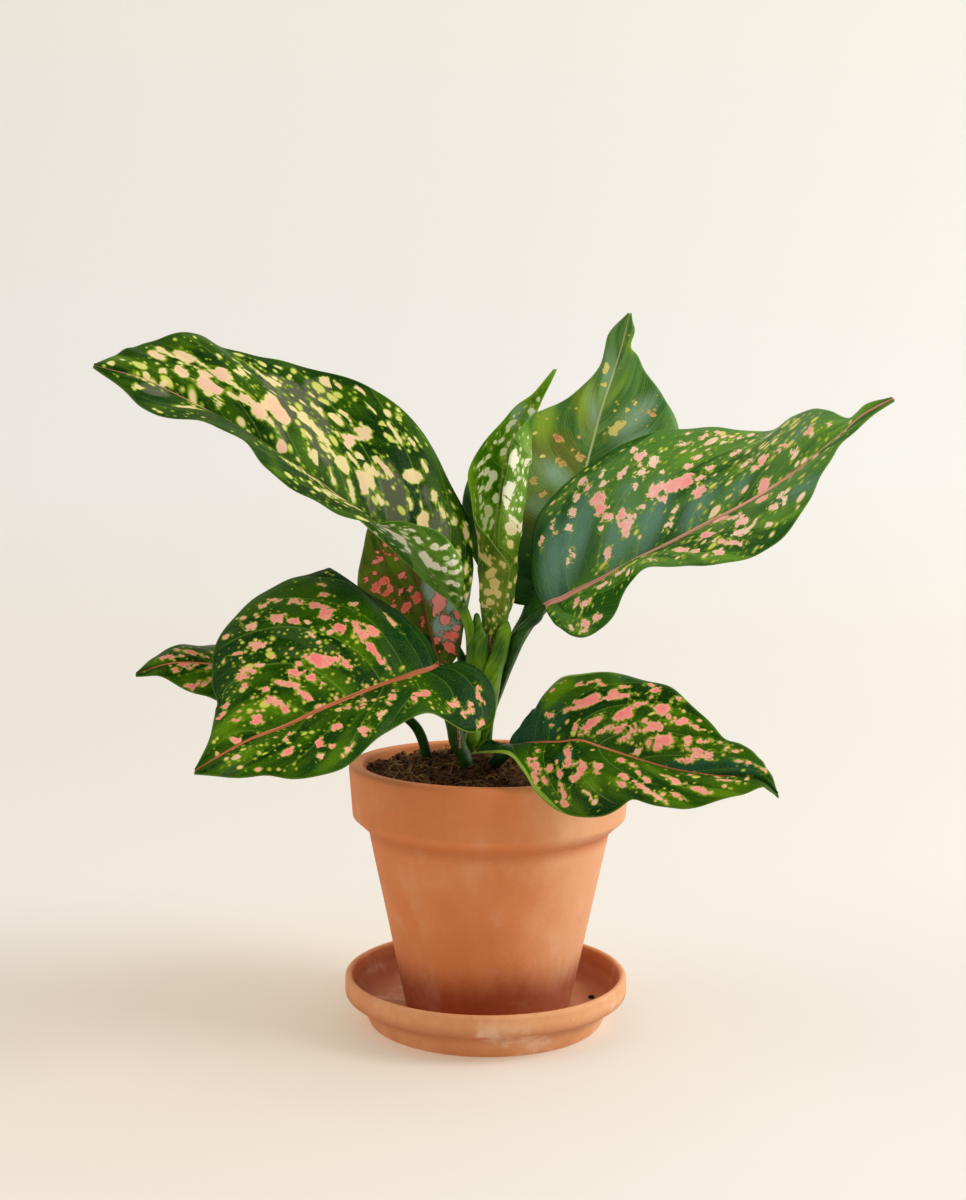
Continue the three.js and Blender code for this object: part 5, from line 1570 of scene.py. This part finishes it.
def build_pot():
    """The pot: outside from the drain hole up, over the rim, and down the inside to the hole."""
    rim_round, inner_round, foot_round, corner_round = 2.2, 1.2, 1.4, 2.4
    base, collar, rim = POT["base_radius"], POT["collar_bottom_radius"], POT["rim_radius"]
    profile = eased([
        (POT["drain_radius"], POT["foot"]),
        *arc(base - foot_round, POT["foot"] + foot_round, foot_round, -90, -5, 5),
        (POT["body_top_radius"] - 0.6, POT["body_top"] - 2.5),
        *arc(POT["body_top_radius"] + 2.2, POT["body_top"] - 0.8, corner_round, 175, 120, 4),
        *arc(collar - corner_round, POT["collar_bottom"] + 1.2, corner_round, -50, 0, 5),
        *arc(rim - rim_round, POT["height"] - rim_round, rim_round, 0, 90, 6),
        *arc(POT["rim_inner"] + inner_round, POT["height"] - inner_round, inner_round, 90, 180, 4),
        (POT["rim_inner"], POT["height"] - 4),
        (POT["rim_inner"] - 1.5, POT["height"] - 16),
        (POT["body_top_radius"] - POT["wall"], POT["body_top"] - 4),
        (base - POT["wall"], POT["foot"] + POT["floor"]),
        (POT["drain_radius"], POT["foot"] + POT["floor"]),
    ])
    clay = clay_material("pot_clay_skin", POT_CLAY)
    pot = turned("terracotta_pot", profile, POT["x"], 0.22, clay, closed=True)
    return settle(pot, "pot_clay", "pot")


def build_saucer():
    """The saucer: outside from the axis up, over the lip, and down the inside to the axis."""
    lip_round = (SAUCER["lip_radius"] - SAUCER["lip_inner"]) / 2
    foot_round, band_round = 1.2, 2.0
    foot, band = SAUCER["foot_radius"], SAUCER["band_bottom"]
    profile = eased([
        (0, 0),
        (foot - foot_round, 0),
        *arc(foot - foot_round, foot_round, foot_round, -90, -20, 4),
        (foot + 3.2, 8),
        (foot + 6.8, 11.4),
        *arc(SAUCER["lip_radius"] - band_round, band + band_round, band_round, -75, 0, 4),
        *arc(SAUCER["lip_inner"] + lip_round, SAUCER["height"] - lip_round, lip_round, 0, 180, 12),
        (SAUCER["lip_inner"] - 0.6, band + 2),
        (SAUCER["floor_radius"] + 3.2, SAUCER["floor_top"] + 5.6),
        (SAUCER["floor_radius"] + 0.4, SAUCER["floor_top"] + 2.2),
        (SAUCER["floor_radius"] - 2.6, SAUCER["floor_top"]),
        (0, SAUCER["floor_top"]),
    ])
    clay = clay_material("saucer_clay_skin", SAUCER_CLAY, wet_inside=True)
    saucer = turned("terracotta_saucer", profile, 0, 0.3, clay)
    return settle(saucer, "saucer_clay", "saucer")


# ---- Soil --------------------------------------------------------------------------------

def soil_height(x, y):
    """Height of the soil at a point measured from the pot's axis."""
    share = (y + SOIL["radius"]) / (2 * SOIL["radius"])
    edge = SOIL["edge_front"] + (SOIL["edge_back"] - SOIL["edge_front"]) * share
    heap = SOIL["heap"] * math.exp(-(math.hypot(x, y) / SOIL["heap_radius"]) ** 2)
    lumps = SOIL["lump"] * math.sin(x * SOIL["lump_waves"]) * math.cos(y * SOIL["lump_waves"])
    waves = SOIL["rough_waves"]
    rough = noise.fractal(Vector((x * waves, y * waves, 0.5)), 0.8, 2.2, 5)
    return edge + heap + lumps + SOIL["rough"] * rough


def soil_spot(rng):
    """A random place on the soil, as x and y from the pot's axis."""
    radius = (SOIL["radius"] - SOIL["margin"]) * math.sqrt(rng.random())
    angle = rng.uniform(0, 2 * math.pi)
    return radius * math.cos(angle), radius * math.sin(angle)


def soil_material():
    """Dark brown soil with lighter crumbs in two sizes."""
    shade = Shader("soil_skin", 0.92, 0.25)
    place = shade.place()
    coarse = shade.noise(place, 260, 4, 0.7)
    fine = shade.noise(place, 1200, 4, 0.7)
    colour = shade.mix(shade.ramp(coarse, 0.35, 0.65), linear(38, 21, 8), linear(108, 68, 30))
    colour = shade.mix(shade.ramp(fine, 0.55, 0.75, 0, 0.7), colour, linear(146, 96, 50))
    normal = shade.bump(coarse, 0.002, 0.8)
    normal = shade.bump(fine, 0.0008, 0.7, normal)
    return shade.finish(colour, normal)


def speck_material(name, dark, light):
    """A dull, grainy skin in two tones, for crumbs, chips and fibres."""
    shade = Shader(name, 0.9, 0.25)
    place = shade.place()
    tone = shade.noise(place, 170, 3, 0.7)
    colour = shade.mix(shade.ramp(tone, 0.35, 0.65), dark, light)
    grain = shade.noise(place, 2400, 3, 0.7)
    return shade.finish(colour, shade.bump(grain, 0.0004, 0.6))


def lump_shape():
    """The corners and faces of a small ball to be bent into crumbs."""
    ball = bmesh.new()
    bmesh.ops.create_icosphere(ball, subdivisions=2, radius=1)
    corners = np.array([v.co[:] for v in ball.verts])
    faces = [tuple(v.index for v in face.verts) for face in ball.faces]
    ball.free()
    return corners, faces


def strewn(name, kind, material):
    """Irregular crumbs on the soil, as one piece."""
    rng = random.Random(kind["seed"])
    corners, corner_faces = lump_shape()
    points, faces = [], []
    for _ in range(kind["count"]):
        x, y = soil_spot(rng)
        size = rng.uniform(*kind["sizes"]) * rng.uniform(0.5, 1)
        turn = np.array(Euler([rng.uniform(0, 6.3) for _ in range(3)]).to_matrix())
        offset = Vector([rng.uniform(-50, 50) for _ in range(3)])
        bulge = [1 + 0.55 * noise.noise(Vector(c) * 1.3 + offset) for c in corners]
        squash = np.array([1, rng.uniform(0.55, 0.95), rng.uniform(0.45, 0.85)])
        shape = (corners * np.array(bulge)[:, None] * squash * size) @ turn.T
        start = len(points)
        points += (shape + [POT["x"] + x, y, soil_height(x, y) + size * kind["rise"]]).tolist()
        faces += [tuple(start + c for c in face) for face in corner_faces]
    return settle(make_mesh(name, points, faces, [material]), "soil")


def saucer_crumb(material):
    """A dark crumb of soil that has dropped into the saucer."""
    corners, faces = lump_shape()
    bulge = [1 + 0.5 * noise.noise(Vector(c) * 1.4) for c in corners]
    shape = corners * np.array(bulge)[:, None] * SAUCER_CRUMB["half_size"] + SAUCER_CRUMB["at"]
    settle(make_mesh("saucer_crumb", shape, faces, [material]), "soil")


def fibre_line(rng):
    """The x, y, height and heading of each point along one bent hair on the soil."""
    x, y = soil_spot(rng)
    heading = rng.uniform(0, 6.3)
    length = rng.uniform(*FIBRES["length"])
    bend = rng.uniform(-FIBRES["bend"], FIBRES["bend"])
    half_width = rng.uniform(*FIBRES["half_width"])
    steps = FIBRES["steps"]
    line = []
    for i in range(steps + 1):
        if math.hypot(x, y) > SOIL["radius"] - 1:
            x, y = x * 0.97, y * 0.97
        arch = FIBRES["arch"] * math.sin(math.pi * i / steps) * rng.uniform(0.7, 1.2)
        rise = FIBRES["gap_below"] + arch
        line.append((x, y, soil_height(x, y) + rise, heading))
        x += length / steps * math.cos(heading)
        y += length / steps * math.sin(heading)
        heading += bend + rng.uniform(-FIBRES["kink"], FIBRES["kink"])
    return line, half_width


def fibres():
    """Short bent root and coir hairs lying on the soil, as one piece of four-sided hairs."""
    rng = random.Random(FIBRES["seed"])
    points, faces = [], []
    for _ in range(FIBRES["count"]):
        start = len(points)
        line, half_width = fibre_line(rng)
        for x, y, height, heading in line:
            for k in range(4):
                angle = k * math.pi / 2
                points.append((
                    POT["x"] + x - math.sin(heading) * half_width * math.cos(angle),
                    y + math.cos(heading) * half_width * math.cos(angle),
                    height + half_width * math.sin(angle),
                ))
        for i in range(FIBRES["steps"]):
            for k in range(4):
                a, b = start + 4 * i + k, start + 4 * i + (k + 1) % 4
                faces.append((a, b, b + 4, a + 4))
        last = start + 4 * FIBRES["steps"]
        faces += [(start + 3, start + 2, start + 1, start), (last, last + 1, last + 2, last + 3)]
    material = speck_material("fibre_skin", linear(120, 84, 46), linear(186, 146, 92))
    return settle(make_mesh("soil_fibres", points, faces, [material]), "soil")


def soil_ring(radius):
    """Evenly spaced points on a circle round the pot's axis."""
    angles = [2 * math.pi * k / SOIL["sectors"] for k in range(SOIL["sectors"])]
    return [(radius * math.cos(angle), radius * math.sin(angle)) for angle in angles]


def soil_surface():
    """The heaped top of the soil, with a skirt that ends inside the pot."""
    points = [(POT["x"], 0, soil_height(0, 0))]
    rings = [[0]]
    for ring in range(1, SOIL["rings"] + 1):
        rings.append(range(len(points), len(points) + SOIL["sectors"]))
        circle = soil_ring(SOIL["radius"] * ring / SOIL["rings"])
        points += [(POT["x"] + x, y, soil_height(x, y)) for x, y in circle]
    rings.append(range(len(points), len(points) + SOIL["sectors"]))
    skirt = soil_ring(SOIL["radius"] - SOIL["margin"])
    points += [(POT["x"] + x, y, SOIL["skirt_bottom"]) for x, y in skirt]
    faces = []
    for inner, outer in zip(rings, rings[1:]):
        for k in range(SOIL["sectors"]):
            after = (k + 1) % SOIL["sectors"]
            if len(inner) == 1:
                faces.append((inner[0], outer[k], outer[after]))
            else:
                faces.append((inner[k], outer[k], outer[after], inner[after]))
    faces.append(tuple(reversed(rings[-1])))
    settle(make_mesh("soil_surface", points, faces, [soil_material()]), "soil", "soil")


def build_soil():
    """The soil's surface and everything that lies loose on it."""
    soil_surface()
    dark = speck_material("crumb_skin", linear(38, 21, 9), linear(108, 66, 32))
    pale = speck_material("chip_skin", linear(120, 92, 60), linear(196, 176, 146))
    strewn("soil_crumbs", CRUMBS, dark)
    strewn("soil_chips", CHIPS, pale)
    saucer_crumb(speck_material("wet_crumb_skin", linear(16, 12, 10), linear(44, 32, 26)))
    fibres()


# ---- Studio, in metres and watts ---------------------------------------------------------

STUDIO = {
    "near": -2.2,
    "far": 1.5,
    "bend": 0.9,
    "half_width": 3.2,
    "top": 3.0,
    # The glow strength is painted light that lifts the shadows on the floor and wall.
    "painted_glow": 0.27,
    # The shift to the centre of a painted pool of warm light in the plant's shadow, left of the
    # pot.
    "to_painted_warm_light": (0.13, 0.03, 0),
    "air": linear(252, 250, 246),
    "air_strength": 0.5,
}

LAMPS = {
    "key": {
        "at": (1.5, -0.35, 1.25), "target": (0, 0, 0.12), "size": (0.9, 0.9),
        "watts": 22, "colour": (1, 0.985, 0.96),
    },
    "rim": {
        "at": (1.7, 0.7, 0.8), "target": (0, 0.1, 0.2), "size": (1.2, 1.2),
        "watts": 6, "colour": (1, 0.99, 0.97),
    },
    "fill": {
        "at": (-1.7, -0.4, 1.6), "target": (0, 0, 0.1), "size": (1.8, 1.8),
        "watts": 13, "colour": (1, 0.985, 0.96),
    },
}


def backdrop_material():
    """Near-white paper, a little darker and warmer on the floor, with a glow of painted light."""
    shade = Shader("backdrop_paper", 0.9, 0.1)
    tone = shade.noise(shade.place(), 0.9, 2, 0.5)
    paper = shade.mix(shade.ramp(tone, 0.3, 0.7), linear(206, 205, 202), linear(208, 207, 204))
    height = shade.add("SeparateXYZ", Vector=shade.place()).outputs[2]
    level = shade.ramp(height, 0.0, 0.3)
    colour = shade.mix(level, shade.mix(1, paper, linear(252, 249, 245), "MULTIPLY"), paper)
    # The glow is painted light: warmer on the floor, where it lifts the shadows.
    painted_glow = shade.mix(level, linear(255, 246, 231), linear(255, 250, 240))
    painted_glow = shade.mix(shade.ramp(height, 0.4, 1.0), painted_glow, linear(255, 247, 229))
    # A painted pool of warm light lies in the plant's shadow, just left of the pot.
    away = shade.length(shade.shifted(shade.place(), STUDIO["to_painted_warm_light"]))
    painted_glow = shade.mix(shade.ramp(away, 0.08, 0.3), linear(255, 224, 186), painted_glow)
    shade.feed(shade.surface.inputs["Emission Color"], painted_glow)
    shade.surface.inputs["Emission Strength"].default_value = STUDIO["painted_glow"]
    return shade.finish(colour)


def build_studio():
    """A pale floor that sweeps up into a backdrop, far behind the plant."""
    near, far = STUDIO["near"], STUDIO["far"]
    bend, half_width = STUDIO["bend"], STUDIO["half_width"]
    turns = np.radians(range(6, 91, 6))
    profile = [(near, 0), (far - bend, 0)]
    profile += [(far - bend + bend * math.sin(t), bend - bend * math.cos(t)) for t in turns]
    profile += [(far, STUDIO["top"])]
    points, faces = [], []
    for y, z in profile:
        points += [(-half_width, y, z), (half_width, y, z)]
    for i in range(len(profile) - 1):
        faces.append((2 * i, 2 * i + 1, 2 * i + 3, 2 * i + 2))
    sweep = make_mesh("backdrop", np.array(points) / MM, faces, [backdrop_material()])


def add_lamp(name, spec):
    """A rectangular lamp that faces its target."""
    lamp = bpy.data.lights.new(name, "AREA")
    lamp.shape = "RECTANGLE"
    lamp.size, lamp.size_y = spec["size"]
    lamp.energy = spec["watts"]
    lamp.color = spec["colour"]
    holder = bpy.data.objects.new(name, lamp)
    bpy.context.scene.collection.objects.link(holder)
    holder.location = spec["at"]
    aim = Vector(spec["target"]) - Vector(spec["at"])
    holder.rotation_euler = aim.to_track_quat("-Z", "Y").to_euler()


def build_light():
    """The lamps, and the pale air that lights the shadows."""
    for name, spec in LAMPS.items():
        add_lamp(name, spec)
    world = bpy.data.worlds.new("studio_air")
    world.use_nodes = True
    sky = world.node_tree.nodes["Background"]
    sky.inputs["Color"].default_value = STUDIO["air"]
    sky.inputs["Strength"].default_value = STUDIO["air_strength"]
    bpy.context.scene.world = world


def build_camera():
    """The camera that took the photograph."""
    lens = bpy.data.cameras.new("photo_camera")
    lens.lens = CAMERA_LENS
    lens.sensor_width = CAMERA_SENSOR
    camera = bpy.data.objects.new("photo_camera", lens)
    camera.location = CAMERA_AT
    tilt = Matrix.Rotation(math.radians(90 - CAMERA_DOWN), 4, "X")
    roll = Matrix.Rotation(math.radians(CAMERA_ROLL), 4, "Z")
    camera.rotation_euler = (tilt @ roll).to_euler()
    bpy.context.scene.collection.objects.link(camera)
    bpy.context.scene.camera = camera


build_camera()
build_light()
build_studio()
build_saucer()
build_pot()
build_soil()
build_stems()
build_blades()

bpy.context.scene.view_settings.view_transform = "Standard"
